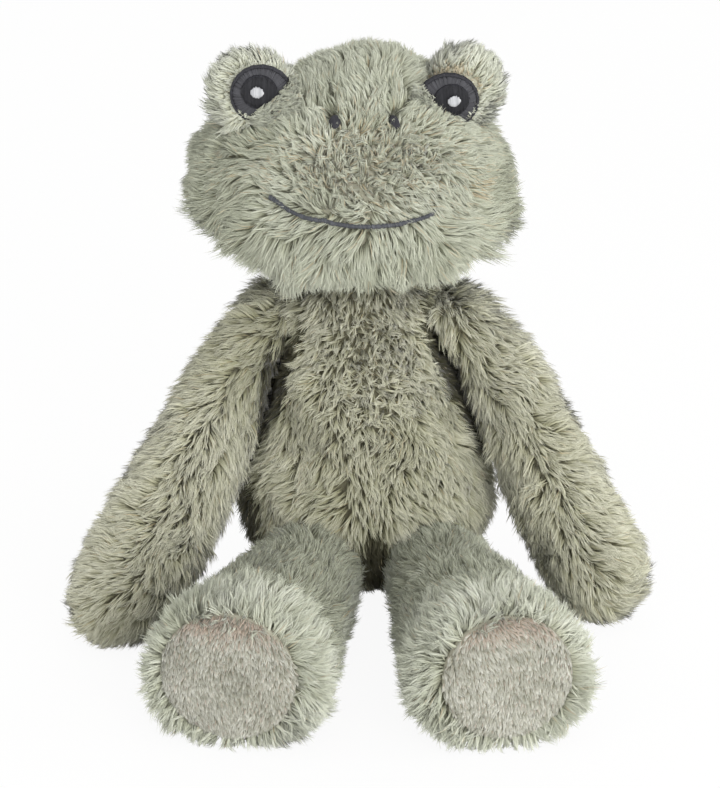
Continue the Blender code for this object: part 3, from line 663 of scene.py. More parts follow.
def thinned(form):
    """Under the toy, where it sits, the pile is crushed and three locks in five are left out."""
    under = (form.points[:, 2] < 0.0025) & (form.normals[:, 2] < -0.6)
    return ~under | (np.random.default_rng(15).uniform(0.0, 1.0, len(under)) < 0.4)


# Where a painted line of shade marks the meeting of arm and body fur, seen from the camera:
# heights, then offsets across
ARMPIT_SHADE_LINES = {
    "left": ((0.052, 0.0565, 0.0763, 0.0907, 0.1051), (0.046, 0.0392, 0.0345, 0.0277, 0.0205)),
    "right": ((0.052, 0.074, 0.092, 0.1044), (-0.0407, -0.0331, -0.0299, -0.0238)),
}

# How much painted shade darkens the fur that an arm lies against
CREASE_SHADE = {"left": 1.0, "right": 0.75}

torso = forms["torso"]
across, _, up = torso.points.T
rise = (up - torso.low[2]) / (torso.high[2] - torso.low[2])
front = ease(-0.2, 0.3, -torso.normals[:, 1])[:, None]
towards = front * brushed(torso, TORSO_BRUSH_SHARES, torso.points)
towards += (1.0 - front) * np.array((0.0, 0.0, -1.0))
front = front[:, 0]
flank = ease(0.020, 0.030, np.abs(across)) * ease(0.094, 0.104, up)
towards[:, 0] += 0.9 * flank * front * np.sign(across)
off_centre = (across - torso.middle[0]) / (torso.high[0] - torso.low[0]) - 0.04
curly = np.exp(-((off_centre / 0.24) ** 2) - ((rise - 0.66) / 0.17) ** 2) * front
locks = lay_locks(torso, TORSO_DEPTH, towards, 0.40, 11, curly, size=0.0050, pull=1.0)

# The chest's pile is shorter, its tone raised as painted light against the head's shade
# and the curls' bared roots; the seat's crushed, and at the neck it stands out
chest = ease(0.55, 0.75, rise)
locks["length"] *= TORSO_PILE * (1.0 - 0.12 * chest)
locks["end"] -= 0.30 * chest
locks["length"] *= 1.0 - 0.45 * ease(0.010, 0.0, up)
locks["tone"] += 0.14 + 0.32 * chest + 0.10 * curly
neck_side = ease(0.80, 0.90, rise) * ease(0.35, 0.75, np.abs(torso.normals[:, 0]))
locks["end"] -= 0.70 * neck_side
locks["length"] *= 1.0 + 0.65 * neck_side

# Painted shade where head, arms and legs lie against it, along each armpit as seen from the
# camera and on the low sides, as in the photograph
chin_shadow = ease(-0.011, -0.002, forms["head"].inside(torso.points)) * front
shade_fold(locks, chin_shadow, 0.9)
seen = torso.points @ np.array([(1.0, 0.0), (0.0, -view_line[2]), (0.0, -view_line[1])])
across, up = seen.T
for hand in SIDES:
    crease = ease(-0.0062, -0.0018, forms[f"arm_{hand}"].inside(torso.points))
    crease *= ease(0.108, 0.094, torso.points[:, 2])
    shade_fold(locks, crease, CREASE_SHADE[hand], 0.25)
    # Painted shade in a line along each armpit as seen from the camera, lighter just outside it
    past = (across - np.interp(up, *ARMPIT_SHADE_LINES[hand])) * SIDES[hand]
    high = ease(0.074, 0.084, up)
    line = hump(past, 0.0, 0.0023) * front * high
    shade_fold(locks, line, 1.3, 0.35)
    locks["tone"] += 0.18 * ease(0.0015, 0.004, past) * high
# Painted shade low on the torso's right side
low_side_shade = ease(0.033, 0.042, np.abs(across + 0.002)) * ease(0.060, 0.045, up)
locks["tone"] -= 0.9 * low_side_shade * front * ease(-0.012, -0.030, across)
# Painted shadow in the crotch between the legs
crotch_shadow = [forms[f"leg_{hand}"].inside(torso.points) for hand in SIDES]
crotch_shadow = ease(-0.018, -0.008, np.minimum(*crotch_shadow)) * front
shade_fold(locks, crotch_shadow, 1.1, 0.35)
free = clear_of("torso", 0.001, ["head", "arm_left", "arm_right", "leg_left", "leg_right"])
free &= thinned(torso)
add_fur("torso_fur", keep(locks, free), "torso", warm_pile, "fur", 100)
add_backing("torso_backing", "torso_skin", torso, TORSO_DEPTH, "torso")


# Head
# One wide stuffed form of the same fur, sewn on at the neck. The pile is brushed away from
# the mouth: up over the brow, out over the cheeks and down over the chin, where it is
# longest.
HEAD_PILE = 0.0082
HEAD_DEPTH = 0.0040
CHIN_EXTRA_SHARE = 0.35
MOUTH_PITCH = 0.00042  # from one stitch of the smile to the next
# Round each nostril: where its fur begins, and how much shorter that is
NOSTRIL_FUR = {"left": (0.0006, 0.22), "right": (0.0015, 0.40)}
# Small patches where the tan fibres crowd: across, height, reach, then how tan and dark
HEAD_SPOTS = ((0.0367, 0.1636, 0.0030, 0.6, 0.0), (-0.0360, 0.1310, 0.0024, 0.5, 0.5))


def mouth_line():
    """The smile as a line of points, read from the middle of its solid."""
    solid = vertex_rows(frame["nodes"]["mouth_stitch"].data, "co")
    bins = np.linspace(solid[:, 0].min(), solid[:, 0].max(), 26)
    path = []
    for start, stop in zip(bins[:-1], bins[1:]):
        inside = (solid[:, 0] >= start) & (solid[:, 0] <= stop)
        if inside.any():
            path.append(solid[inside].mean(axis=0))
    path = np.array(path)
    steps = np.concatenate(([0.0], np.cumsum(np.linalg.norm(np.diff(path, axis=0), axis=1))))
    places = np.arange(0.0, steps[-1], MOUTH_PITCH)
    path = np.stack([np.interp(places, steps, path[:, axis]) for axis in range(3)], axis=1)
    for _ in range(12):
        path[1:-1] = (path[:-2] + path[1:-1] * 2 + path[2:]) / 4
    return path


head = forms["head"]
across, _, up = head.points.T
faces_up = head.normals[:, 2]
mouth_low, mouth_high = corners_of("mouth_stitch")
muzzle = np.array(((mouth_low[0] + mouth_high[0]) / 2, mouth_low[1], mouth_low[2] + 0.018))
away = head.points - muzzle
below = ease(0.002, -0.004, away[:, 2]) * ease(-0.024, -0.016, away[:, 2])
away[:, 2] *= 1.0 - 0.62 * below
over = np.exp(-((away[:, 0] / 0.034) ** 2 + (away[:, 2] / 0.016) ** 2))
away[:, 2] = away[:, 2] * (1.0 - 0.4 * over) - 0.55 * over * away[:, 0]
back = (0.35 * ease(0.0, 0.04, away[:, 1]))[:, None]
towards = unit(away) + back * np.array((0.0, 0.0, -1.0))

# The pile parts along the smile, except at its overgrown far end, and over each nostril
gap = head.points[:, None, :] - mouth_line()[None, ::6, :]
far = np.linalg.norm(gap, axis=2)
nearest = far.argmin(axis=1)
far = far[np.arange(len(far)), nearest]
from_smile = gap[np.arange(len(far)), nearest]
open_side = ease(0.0245, 0.0205, across)
part = (1.5 * open_side * hump(far, 0.0, 0.0034))[:, None]
towards += part * unit(from_smile)
over = head.points - (muzzle + np.array((0.001, 0.0, 0.003)))
ahead = ease(-0.3, 0.2, -head.normals[:, 1])
curly = 1.7 * np.exp(-((over[:, 0] / 0.026) ** 2) - (over[:, 2] / 0.0105) ** 2)
curly = np.minimum(curly, 1.0) * ahead
dimple_shade = np.zeros(len(head.points))
for hand in SIDES:
    low, high = corners_of(f"nostril_{hand}")
    nostril = (low + high) / 2
    rise = up - nostril[2]
    beside = across - nostril[0] + 0.25 * rise * (1.0 if hand == "right" else 0.3)
    crease = hump(beside, 0.0, 0.0030) * ease(0.0, 0.002, rise) * ahead
    crease *= ease(0.012, 0.006, rise)
    towards[:, 0] += 1.2 * crease * np.sign(beside)
    # Painted shade in the crease over each nostril
    dimple_shade = dimple_shade + 0.55 * crease * hump(beside, 0.0, 0.0013)
cheeks = ease(0.030, 0.052, np.abs(away[:, 0]))
pull = 1.2 - 0.9 * cheeks
locks = lay_locks(head, HEAD_DEPTH, towards, 0.45, 21, curly, size=0.0075, pull=pull)

# Longest under the chin and jaw, short on the muzzle and crown
locks["end"] += 0.10 * cheeks
locks["length"] *= HEAD_PILE * (1.0 - 0.16 * curly)
chin = ease(-0.004, -0.016, away[:, 2]) * ahead
locks["length"] *= 1.0 + CHIN_EXTRA_SHARE * chin
jaw = ease(-0.5, -0.8, faces_up) * ease(0.016, 0.028, np.abs(away[:, 0]))
locks["length"] *= 1.0 + 0.30 * jaw
locks["end"] -= 0.35 * jaw
crown = ease(0.6, 0.9, faces_up)
locks["length"] *= 1.0 - 0.12 * crown
locks["hug"] *= 0.86 - 0.14 * cheeks

# Painted shade on the cheeks, most on the toy's left where the side lamp falls, with a
# higher floor to the tone on its right cheek; painted shade in the dimples over the
# nostrils, and tan fibres in small patches
right_cheek = ease(-0.025, -0.045, across)
locks["tone"] = 0.5 + 0.65 * (locks["tone"] - 0.5) + 0.01 - 0.13 * cheeks + 0.06 * curly
locks["tone"] -= 0.16 * right_cheek
# Painted shade on the toy's left cheek, where the side lamp falls
locks["tone"] -= 0.58 * ease(0.034, 0.056, across)
locks["tone"] = np.maximum(locks["tone"], 0.17 + 0.12 * right_cheek) - 0.6 * dimple_shade
for middle, height, reach, tan, dark in HEAD_SPOTS:
    spot = np.hypot(across - middle, up - height)
    spot = hump(spot, 0.0, reach) * ahead
    locks["tan"] += tan * spot
    locks["tone"] -= dark * spot
locks["tan"] += 0.16 * curly + 0.01
for hand, (reach, trim) in NOSTRIL_FUR.items():
    low, high = corners_of(f"nostril_{hand}")
    near = np.linalg.norm((head.points - (low + high) / 2) / (1.0, 2.0, 1.5), axis=1)
    locks["length"] *= 1.0 - trim * ease(reach + 0.0028, reach, near)
    locks["length"][near < reach] = 0.0
    locks["tone"] -= 0.6 * ease(reach + 0.0026, reach, near)
locks["length"][(far < 0.0012) & (open_side > 0.5)] = 0.0
free = clear_of("head", 0.001, ["torso", "pod_left", "pod_right"]) & (locks["length"] > 0.0)
add_fur("head_fur", keep(locks, free), "head", cool_pile, "fur", 200)
add_backing("head_backing", "head_skin", head, HEAD_DEPTH, "head", pale_backing)


# Brow pouches
# Two small stuffed pouches on top of the head. Their pile is short round the eye and
# stands out in long points behind it; the head's fur laps over a part of each eye.
POD_PILE = 0.0066
POD_DEPTH = 0.0030
POD_TONE = {"left": 0.42, "right": 0.40}
POD_GROWN = {"left": 0.64, "right": 0.90}  # how much longer the pile is away from the eye
# Where the brow's fur laps over each eye: the way to the hidden part as seen from in
# front, how far from the eye's middle it starts, and how the lap's edge bends
EYE_LAPS = {
    "left": ((-0.73, -0.68), 0.0010, (18.0, -6.0)),
    "right": ((0.68, -0.73), 0.0020, (0.0, 15.0)),
}
# How far the photograph shows each part of an eye slid over its pouch: across, up, size
EYE_SLIDES = {
    "left": {
        "eye_patch": (-0.0044, -0.0043, 1.08),
        "pupil": (-0.0022, -0.0025, 1.0),
        "highlight": (-0.0013, -0.0036, 0.90),
    },
    "right": {
        "eye_patch": (0.0008, -0.0016, 1.07),
        "pupil": (0.0002, 0.0000, 1.0),
        "highlight": (-0.0005, -0.0013, 0.92),
    },
}
EYE_LIFTS = {"eye_patch": 0.0, "pupil": 0.0001, "highlight": 0.0002}
EYE_ROUND = 0.040  # the pouch's roundness, which the eye takes
EYE_SUNK = 0.0002  # how far the stitches draw it into the pile


def plate_frame(node):
    """The middle, outward normal, sideways and upward axes of a round flat piece."""
    points = vertex_rows(frame["nodes"][node].data, "co")
    low, high = corners_of(node)
    middle = (low + high) / 2
    _, axes = np.linalg.eigh(np.cov((points - points.mean(axis=0)).T))
    outward = axes[:, 0] * (-1.0 if axes[1, 0] > 0 else 1.0)
    sideways = unit(np.cross((0.0, 0.0, 1.0), outward))
    upward = np.cross(outward, sideways)
    wide = np.abs((points - middle) @ sideways).max()
    tall = np.abs((points - middle) @ upward).max()
    return middle, outward, sideways, upward, wide, tall


def slide(hand, part):
    """How a part of the eye lies slid over its pouch and rounded with it, and its turn."""
    pivot = forms[f"pod_{hand}"].middle
    places = {}
    for piece in ("eye_patch", part):
        middle, outward, sideways, upward, _, _ = plate_frame(f"{piece}_{hand}")
        across, up, size = EYE_SLIDES[hand][piece]
        before = Vector(middle - pivot)
        after = Vector(middle + across * sideways + up * upward - pivot)
        turn = np.array(before.rotation_difference(after).to_matrix())
        places[piece] = (middle, outward, turn, pivot + (middle - pivot) @ turn.T)
    base, outward, turn, eye = places["eye_patch"]
    middle, _, _, centre = places[part]
    axis = outward @ turn.T
    height = (middle - base) @ outward + EYE_LIFTS[part]
    centre = centre + axis * (height - (centre - eye) @ axis)

    def move(points):
        moved = centre + size * (points - middle) @ turn.T
        off = moved - eye
        off = off - along(off, axis) * axis
        return moved - (along(off, off) / (2 * EYE_ROUND) + EYE_SUNK) * axis

    return move, turn


EYE_RADIUS = 0.0102
for hand in SIDES:
    pod = forms[f"pod_{hand}"]
    _, outward, sideways, upward, _, _ = plate_frame(f"eye_patch_{hand}")
    move, turn = slide(hand, "eye_patch")
    eye = move(plate_frame(f"pupil_{hand}")[0] - 0.0008 * outward)
    outward, sideways, upward = outward @ turn.T, sideways @ turn.T, upward @ turn.T
    radius = EYE_RADIUS * EYE_SLIDES[hand]["eye_patch"][2]
    away = pod.points - eye
    distance = np.linalg.norm(away, axis=1)
    grown = ease(radius + 0.0022, radius + 0.0072, distance)
    outside = np.array((0.6 * SIDES[hand], 0.0, 0.8))
    locks = lay_locks(pod, POD_DEPTH, unit(away) + 0.8 * outside, 0.35, 31, size=0.0045)
    locks["length"] *= POD_PILE * (0.36 + POD_GROWN[hand] * grown)
    locks["end"] += 0.22 - 0.32 * grown
    locks["tone"] += POD_TONE[hand]
    if hand == "left":  # the photograph shows a tan arc of short pile over this eye
        arc = ease(radius + 0.0045, radius + 0.0025, distance) * ease(0.002, 0.008, away[:, 2])
        locks["tan"] += 0.9 * arc
        locks["length"] *= 1.0 - 0.45 * arc
    free = clear_of(f"pod_{hand}", 0.003, ["head"]) & (distance > radius - 0.0022)
    under = ease(radius + 0.0010, radius - 0.0010, distance)
    locks["length"] *= 1.0 - 0.45 * under
    locks["end"] += 0.10 * under
    add_fur(f"eye_pod_fur_{hand}", keep(locks, free), "head", cool_pile, "fur", 300)
    skin = f"eye_pod_{hand}"
    add_backing(f"eye_pod_backing_{hand}", skin, pod, POD_DEPTH, "head", pale_backing)

    # Fur that laps over the eye's edge: rooted in the eye, combed along the lap
    rng = np.random.default_rng(35)
    (to_side, to_top), start, bends = EYE_LAPS[hand]
    grid = np.arange(-1.3 * radius, 1.3 * radius, 0.0008)
    across, up = (axis.ravel() for axis in np.meshgrid(grid, grid))
    across = across + rng.uniform(-0.0006, 0.0006, len(across))
    up = up + rng.uniform(-0.0006, 0.0006, len(up))
    beside = up * to_side - across * to_top
    past = across * to_side + up * to_top + np.where(beside < 0.0, *bends) * beside**2
    on = (past > start + 0.0008) & (np.hypot(across, up) < 1.08 * radius)
    across, up = across[on], up[on]
    count = len(up)
    along_lap = -to_top * sideways + to_side * upward
    along_lap *= np.sign(along_lap[2])
    hidden = to_side * sideways + to_top * upward
    deep = 0.0008 + (across**2 + up**2) / (2 * EYE_ROUND)
    roots = eye + across[:, None] * sideways + up[:, None] * upward - deep[:, None] * outward
    normal = unit(outward + 0.25 * hidden)
    comb = unit(along_lap - 0.1 * hidden)
    comb = unit(comb - normal * along(comb, normal))
    locks = {
        "root": roots,
        "normal": np.tile(normal, (count, 1)),
        "length": POD_PILE * rng.uniform(0.75, 1.15, count),
        "start": np.full(count, 0.3),
        "end": 1.25 + rng.normal(0.0, 0.20, count),
        "sway": rng.normal(0.0, 0.08, count),
        "hug": np.clip(rng.normal(0.82, 0.06, count), 0.5, 0.97),
        "tone": 0.60 + rng.normal(0.0, 0.08, count),
        "tan": np.full(count, 0.03),
    }
    stray = 0.45 * drift(roots, 0.0045, 36) + rng.normal(0.0, 0.22, count)
    locks["comb"] = turned(comb, normal, stray)
    add_fur(f"brow_fur_{hand}", locks, "head", cool_pile, "fur", 320)


# Arms
# Arm and hand are one long stuffed form of fur fabric, sewn on at the shoulder. The pile
# parts along the arm's front: outwards on the outer side, down the arm on the inner.
ARM_PILE = 0.0092
ARM_DEPTH = 0.0044
# Tone raised all over and at the shoulder; at the shoulder it is painted light on the left arm, in
# the head's shade, and painted shade on the right arm
ARM_TONE = {"left": (0.0, 0.10), "right": (0.08, -0.38)}  # all over, and at the shoulder
joints = {joint["name"]: joint for joint in frame["joints"]}
for hand, side_sign in SIDES.items():
    arm = forms[f"arm_{hand}"]
    pivot = np.array(joints[f"shoulder_swing_{hand}"]["pos_m"])
    fingers = arm.points[np.linalg.norm(arm.points - pivot, axis=1).argmax()]
    down = unit(fingers - pivot)
    out = unit(np.array((side_sign, 0.0, 0.0)) - down * down[0] * side_sign)
    outer = ease(-0.50, 0.65, arm.normals @ out)[:, None]
    shoulder = ease(0.045, 0.015, (arm.points - pivot) @ down)
    towards = outer * (out + 0.45 * down) + (1.0 - outer) * (down - 0.15 * out)
    over_shoulder = np.array((0.80 * side_sign, -0.35, -0.5))
    towards = (1.0 - shoulder)[:, None] * towards + shoulder[:, None] * over_shoulder
    pole = ease(0.55, 0.90, arm.normals @ -unit(over_shoulder)) * shoulder
    locks = lay_locks(arm, ARM_DEPTH, towards, 0.40, 41, 0.8 * pole, size=0.0050, pull=0.9)
    # Painted light where the locks part at the shoulder and bare their roots
    locks["tone"] += 0.30 * pole
    locks["length"] *= ARM_PILE
    locks["hug"] *= 0.88
    locks["tone"] = 0.5 + 0.7 * (locks["tone"] - 0.5)
    top = ease(0.2, 0.8, arm.normals[:, 2]) * shoulder
    locks["length"] *= 1.0 + 0.10 * top
    locks["start"] += 0.45 * (shoulder * (1.0 - outer[:, 0]))
    # Painted light on the shoulder's top, in the head's shade
    locks["tone"] += 0.12 * top
    # Painted shade where the arm lies against the body
    crease = ease(-0.007, -0.0015, forms["torso"].inside(arm.points))
    crease *= ease(0.106, 0.092, arm.points[:, 2])
    shade_fold(locks, crease, 1.0, 0.25)
    locks["end"] += 0.08
    tone, at_shoulder = ARM_TONE[hand]
    locks["tone"] += 0.24 + (tone + at_shoulder * shoulder)
    free = clear_of(f"arm_{hand}", 0.001, ["torso"]) & thinned(arm)
    add_fur(f"arm_fur_{hand}", keep(locks, free), f"arm_{hand}", warm_pile, "fur", 400)
    add_backing(f"arm_backing_{hand}", f"arm_skin_{hand}", arm, ARM_DEPTH, f"arm_{hand}")


# Legs
# Leg and foot are one stuffed form of fur fabric, sewn on at the hip, with the sole set in
# its end. The pile is brushed away from the sole and stands round it like a ruff.
LEG_PILE = 0.0092
LEG_DEPTH = 0.0044
# How much painted shade darkens the thigh's top, as the photograph shows it, and how far
# the sole keeps fur off
THIGH_SHADE = {"left": 0.52, "right": 0.85}
SOLE_EDGE = {"left": 1.02, "right": 1.05}
for hand in SIDES:
    leg = forms[f"leg_{hand}"]
    sole_low, sole_high = corners_of(f"sole_{hand}")
    sole = (sole_low + sole_high) / 2
    pivot = np.array(joints[f"hip_swing_{hand}"]["pos_m"])
    ahead = unit(np.array((sole[0] - pivot[0], sole[1] - pivot[1], 0.0)))
    towards = unit(leg.points - (sole + 0.010 * ahead))
    over = leg.points - sole
    edge = ease(0.016, 0.004, np.abs(over @ ahead))
    facing = leg.normals @ ahead
    fringe = edge * ease(0.010, 0.018, over[:, 2]) * ease(-0.1, 0.5, facing)
    towards -= (1.6 * fringe)[:, None] * unit(over)
    locks = lay_locks(leg, LEG_DEPTH, towards, 0.55, 51, 0.40 * edge, size=0.0052, pull=1.1)
    locks["length"] *= LEG_PILE * (1.0 + 0.12 * edge)
    locks["end"] -= 0.25 * ease(0.03, 0.0, np.abs(over @ ahead))
    behind = (sole - leg.points) @ ahead
    thigh = ease(0.018, 0.045, behind) * ease(-0.2, 0.5, leg.normals[:, 2])
    # Painted shade on the thigh's top, against the light from above
    locks["tone"] += 0.18 - THIGH_SHADE[hand] * thigh
    locks["tone"] = np.maximum(locks["tone"], 0.16)
    locks["length"] *= 1.0 - 0.15 * thigh
    locks["end"] += 0.10 * thigh
    across = np.array((-ahead[1], ahead[0], 0.0))
    half = (sole_high[2] - sole_low[2]) / 2
    oval = np.hypot((over @ across) / (half * 1.06), over[:, 2] / half)
    on_sole = (oval < SOLE_EDGE[hand]) & (facing > 0.7)
    free = clear_of(f"leg_{hand}", 0.001, ["torso"]) & ~on_sole & thinned(leg)
    add_fur(f"leg_fur_{hand}", keep(locks, free), f"leg_{hand}", cool_pile, "fur", 500)
    skin = f"leg_skin_{hand}"
    add_backing(f"leg_backing_{hand}", skin, leg, LEG_DEPTH, f"leg_{hand}", pale_backing)


# Embroidery
# The face is sewn in satin stitch: glossy polyester thread laid side by side, over a pad
# of charcoal felt where a piece is large.
THREAD_SIDES = 6
THREAD_FLAT = 0.7  # how far the next stitch presses a thread flat
THREAD_FINISH = {"Roughness": 0.6, "Specular IOR Level": 0.3}


def node_tree(node):
    """The surface of a CAD node, to lay thread on."""
    mesh = frame["nodes"][node].data
    return BVHTree.FromPolygons([v.co for v in mesh.vertices], [p.vertices for p in mesh.polygons])


def laid_on(tree, lines, outward, lift):
    """Drop lines of points onto a surface, then lift them off it."""
    out = np.empty_like(lines)
    for i, line in enumerate(lines):
        for j, point in enumerate(line):
            place = tree.ray_cast(Vector(point + 0.02 * outward), Vector(-outward))[0]
            if place is None:
                place = tree.find_nearest(point)[0]
            out[i, j] = np.array(place) + lift * outward
    return out


def face_outward(mesh):
    """Turn every face of a closed mesh outward."""
    edit = bmesh.new()
    edit.from_mesh(mesh)
    bmesh.ops.recalc_face_normals(edit, faces=edit.faces)
    edit.to_mesh(mesh)
    edit.free()
    mesh.shade_smooth()


def add_threads(name, lines, outward, width, material, seed):
    """Lay threads along lines: each a closed tube that narrows at both ends."""
    rng = np.random.default_rng(seed)
    count, steps, _ = lines.shape
    sides = THREAD_SIDES
    ahead = unit(np.gradient(lines, axis=1))
    side = unit(np.cross(ahead, outward))
    over = np.cross(side, ahead)
    over *= np.sign(along(over, outward))
    swell = np.sin(np.linspace(0.22, math.pi - 0.22, steps)) ** 0.35
    size = width / 2 * rng.uniform(0.88, 1.1, (count, 1, 1)) * swell[None, :, None]
    rings = np.empty((count, steps, sides, 3))
    for corner in range(sides):
        turn = corner * math.tau / sides
        across = math.cos(turn) * side + THREAD_FLAT * math.sin(turn) * over
        rings[:, :, corner] = lines + size * across
    tips = (lines[:, 0] - ahead[:, 0] * size[:, 0], lines[:, -1] + ahead[:, -1] * size[:, -1])
    points = np.concatenate([rings.reshape(count, -1, 3), np.stack(tips, 1)], axis=1)
    per = steps * sides + 2
    faces = []
    last = (steps - 1) * sides
    for here in range(0, last, sides):
        for corner in range(sides):
            after = here + (corner + 1) % sides
            faces.append((here + corner, after, sides + after, here + sides + corner))
    for corner in range(sides):
        after = (corner + 1) % sides
        faces.append((after, corner, per - 2))
        faces.append((last + corner, last + after, per - 1))
    tone = np.clip(rng.normal(0.5, 0.16, count), 0.0, 1.0)
    verts = [tuple(p) for thread in points for p in thread]
    polygons = [tuple(v + per * i for v in face) for i in range(count) for face in faces]
    mesh = bpy.data.meshes.new(name)
    mesh.from_pydata(verts, [], polygons)
    mesh.validate()
    face_outward(mesh)
    vertex = np.empty(len(mesh.loops), dtype=np.int32)
    mesh.loops.foreach_get("vertex_index", vertex)
    thread, local = np.divmod(vertex, per)
    column = np.where(local < per - 2, local % sides, sides / 2)
    end = np.where(local == per - 2, 0, steps + 1)
    row = np.where(local < per - 2, local // sides + 1, end)
    lay_map(mesh, tone[thread] * 0.98 + 0.012 * column / sides, 0.01 + 0.98 * row / (steps + 1))
    return add_piece(name, mesh, material, "head")


def thread_material(name, dark, middle, light, ends="#B8B8B8"):
    tones = ((0.0, dark), (0.5, middle), (1.0, light))
    # The thread's ends are darkened with painted shade, where it dives into the cloth
    shades = ((0.0, ends), (0.2, "#FFFFFF"), (0.8, "#FFFFFF"), (1.0, ends))
    return strand_material(name, tones, shades, THREAD_FINISH)


# Polyester embroidery thread: glossy for cloth, each strand of one tone, and darkened with
# painted shade where it dives into the cloth
iris_thread = thread_material("charcoal thread", "#37373B", "#434347", "#56565B")
rim_thread = thread_material("darker charcoal thread", "#26262A", "#303035", "#3C3C42")
pupil_thread = thread_material("near-black thread", "#1C1C1F", "#242428", "#2F2F33")
glint = ("#909195", "#B7B8BB", "#DEDEE0", "#6C6D71")
glint_thread = thread_material("off-white thread", *glint)

# Wool felt, matt and near black, so that no gap between stitches shows pale
dark_felt = backing_material("charcoal felt", "#3A3A3F", "#2C2C30")


def add_felt(name, node, move):
    """The pad under the stitches: the node's own shape, slid to its place on the pouch."""
    mesh = frame["nodes"][node].data.copy()
    mesh.vertices.foreach_set("co", move(vertex_rows(mesh, "co")).ravel())
    mesh.update()
    piece = add_piece(name, mesh, dark_felt, "head")
    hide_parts(node)


# Eyes
# Each is a disc of radial satin with a darker rim. A raised near-black pupil and a small
# off-white glint are stitched upright on it, and all is sewn over felt to a pouch's front.
IRIS_STITCHES = 130
RIM_STITCHES = 170
THREAD_WIDTH = 0.00066
rng = np.random.default_rng(61)


def radial(plate, stitches, inner, outer, steps):
    """Stitches round a disc, each from about the inner share of its radius to the outer."""
    middle, _, sideways, upward, wide, tall = plate
    lines = []
    for number in range(stitches):
        turn = math.tau * (number + rng.uniform(-0.25, 0.25)) / stitches
        reach = np.linspace(rng.uniform(*inner), rng.uniform(*outer), steps)
        spoke = math.cos(turn) * sideways + math.sin(turn) * upward
        lines.append(middle + (wide + tall) / 2 * reach[:, None] * spoke)
    return np.array(lines)


for hand in SIDES:
    tree = node_tree(f"eye_patch_{hand}")
    plate = plate_frame(f"eye_patch_{hand}")
    _, outward, sideways, upward, _, _ = plate
    move, turn = slide(hand, "eye_patch")
    facing = outward @ turn.T
    lines = radial(plate, IRIS_STITCHES, (0.35, 0.45), (0.90, 0.96), 6)
    lines = move(laid_on(tree, lines, outward, 0.0001))
    add_threads(f"iris_{hand}", lines, facing, THREAD_WIDTH, iris_thread, 62)
    add_felt(f"eye_felt_{hand}", f"eye_patch_{hand}", move)
    lines = radial(plate, RIM_STITCHES, (0.91, 0.94), (0.99, 1.03), 5)
    lines = move(laid_on(tree, lines, outward, 0.0003))
    add_threads(f"iris_rim_{hand}", lines, facing, THREAD_WIDTH, rim_thread, 63)
    for part, material, pitch, lift, ragged in (
        ("pupil", pupil_thread, 0.00042, 0.0001, 0.94),
        ("highlight", glint_thread, 0.00040, 0.0002, 0.84),
    ):
        node = f"{part}_{hand}"
        middle, _, _, _, wide, tall = plate_frame(node)
        spot = (wide + tall) / 2
        lines = []
        for place in np.arange(-spot + pitch / 2, spot, pitch):
            half = math.sqrt(max(spot**2 - place**2, 0.0)) * rng.uniform(ragged, 1.04)
            span = np.linspace(-half, half, 6)
            lines.append(middle + place * sideways + span[:, None] * upward)
        move, turn = slide(hand, part)
        lines = move(laid_on(node_tree(node), np.array(lines), outward, lift))
        name = f"{part}_satin_{hand}"
        facing = outward @ turn.T
        piece = add_threads(name, lines, facing, pitch * 1.5, material, 64)
        if part == "pupil":
            add_felt(f"pupil_felt_{hand}", node, move)
        else:
            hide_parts(node)


# Nostrils
# Two small ovals of darker charcoal satin, stitched upright straight through the fur. The
# photograph shows the one on the image's left taller, wider and tilted.
NOSTRIL_PITCH = 0.00045
# Width and height against the CAD oval, tilt of the stitches, lift off the CAD's surface
NOSTRILS = {"left": (0.90, 1.0, 0.0, -0.0013), "right": (1.08, 1.18, 0.35, -0.0003)}
for hand, (width, height, tilt, lift) in NOSTRILS.items():
    node = f"nostril_{hand}"
    middle, outward, sideways, upward, wide, tall = plate_frame(node)
    wide *= width
    tall *= height
    stroke = unit(upward - tilt * sideways)
    lines = []
    for place in np.arange(-wide * 0.92, wide, NOSTRIL_PITCH):
        half = tall * math.sqrt(max(1.0 - (place / wide) ** 2, 0.0)) * rng.uniform(0.80, 1.12)
        span = np.linspace(-half, half, 6)
        lines.append(middle + place * sideways + span[:, None] * stroke)
    lines = laid_on(node_tree(node), np.array(lines), outward, lift)
    name = f"nostril_satin_{hand}"
    piece = add_threads(name, lines, outward, 0.0007, rim_thread, 65)
    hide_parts(node)


# Mouth
# A narrow line of slate satin stitch, slanted across the smile and sewn through the fur,
# which grows over its far end.
MOUTH_WIDTH = 0.0017
MOUTH_ARCH = 0.0004
path = mouth_line()
ahead = unit(np.gradient(path, axis=0))
nearest = [forms["head"].tree.find_nearest(Vector(point)) for point in path]
outward = unit(np.array([np.array(normal) for _, normal, _, _ in nearest]))
across = unit(np.cross(ahead, outward))
slant = unit(across + 0.35 * ahead)
span = np.linspace(-0.5, 0.5, 5)
arch = MOUTH_ARCH * (1.0 - (2 * span) ** 2)
along_smile = path[:, 0]
overgrown = 0.45 * hump(along_smile, 0.0125, 0.003) + ease(0.0205, 0.0245, along_smile)
overgrown += 1.0 * ease(0.0230, 0.0250, along_smile)
overgrown -= 1.9 * hump(along_smile, 0.0325, 0.0014)
lift = 0.0012 - 0.0024 * overgrown + 0.0004 * drift(path, 0.004, 67)
reach = MOUTH_WIDTH * np.random.default_rng(68).uniform(0.70, 1.10, (len(path), 1, 1))
lines = path[:, None, :] + reach * span[None, :, None] * slant[:, None, :]
lines = lines + (lift[:, None] + arch[None, :])[..., None] * outward[:, None, :]
mouth_thread = thread_material("slate thread", "#35373B", "#47494E", "#63656A")
facing = outward[:, None, :]
piece = add_threads("mouth_satin", lines, facing, 0.0006, mouth_thread, 66)
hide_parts("mouth_stitch")


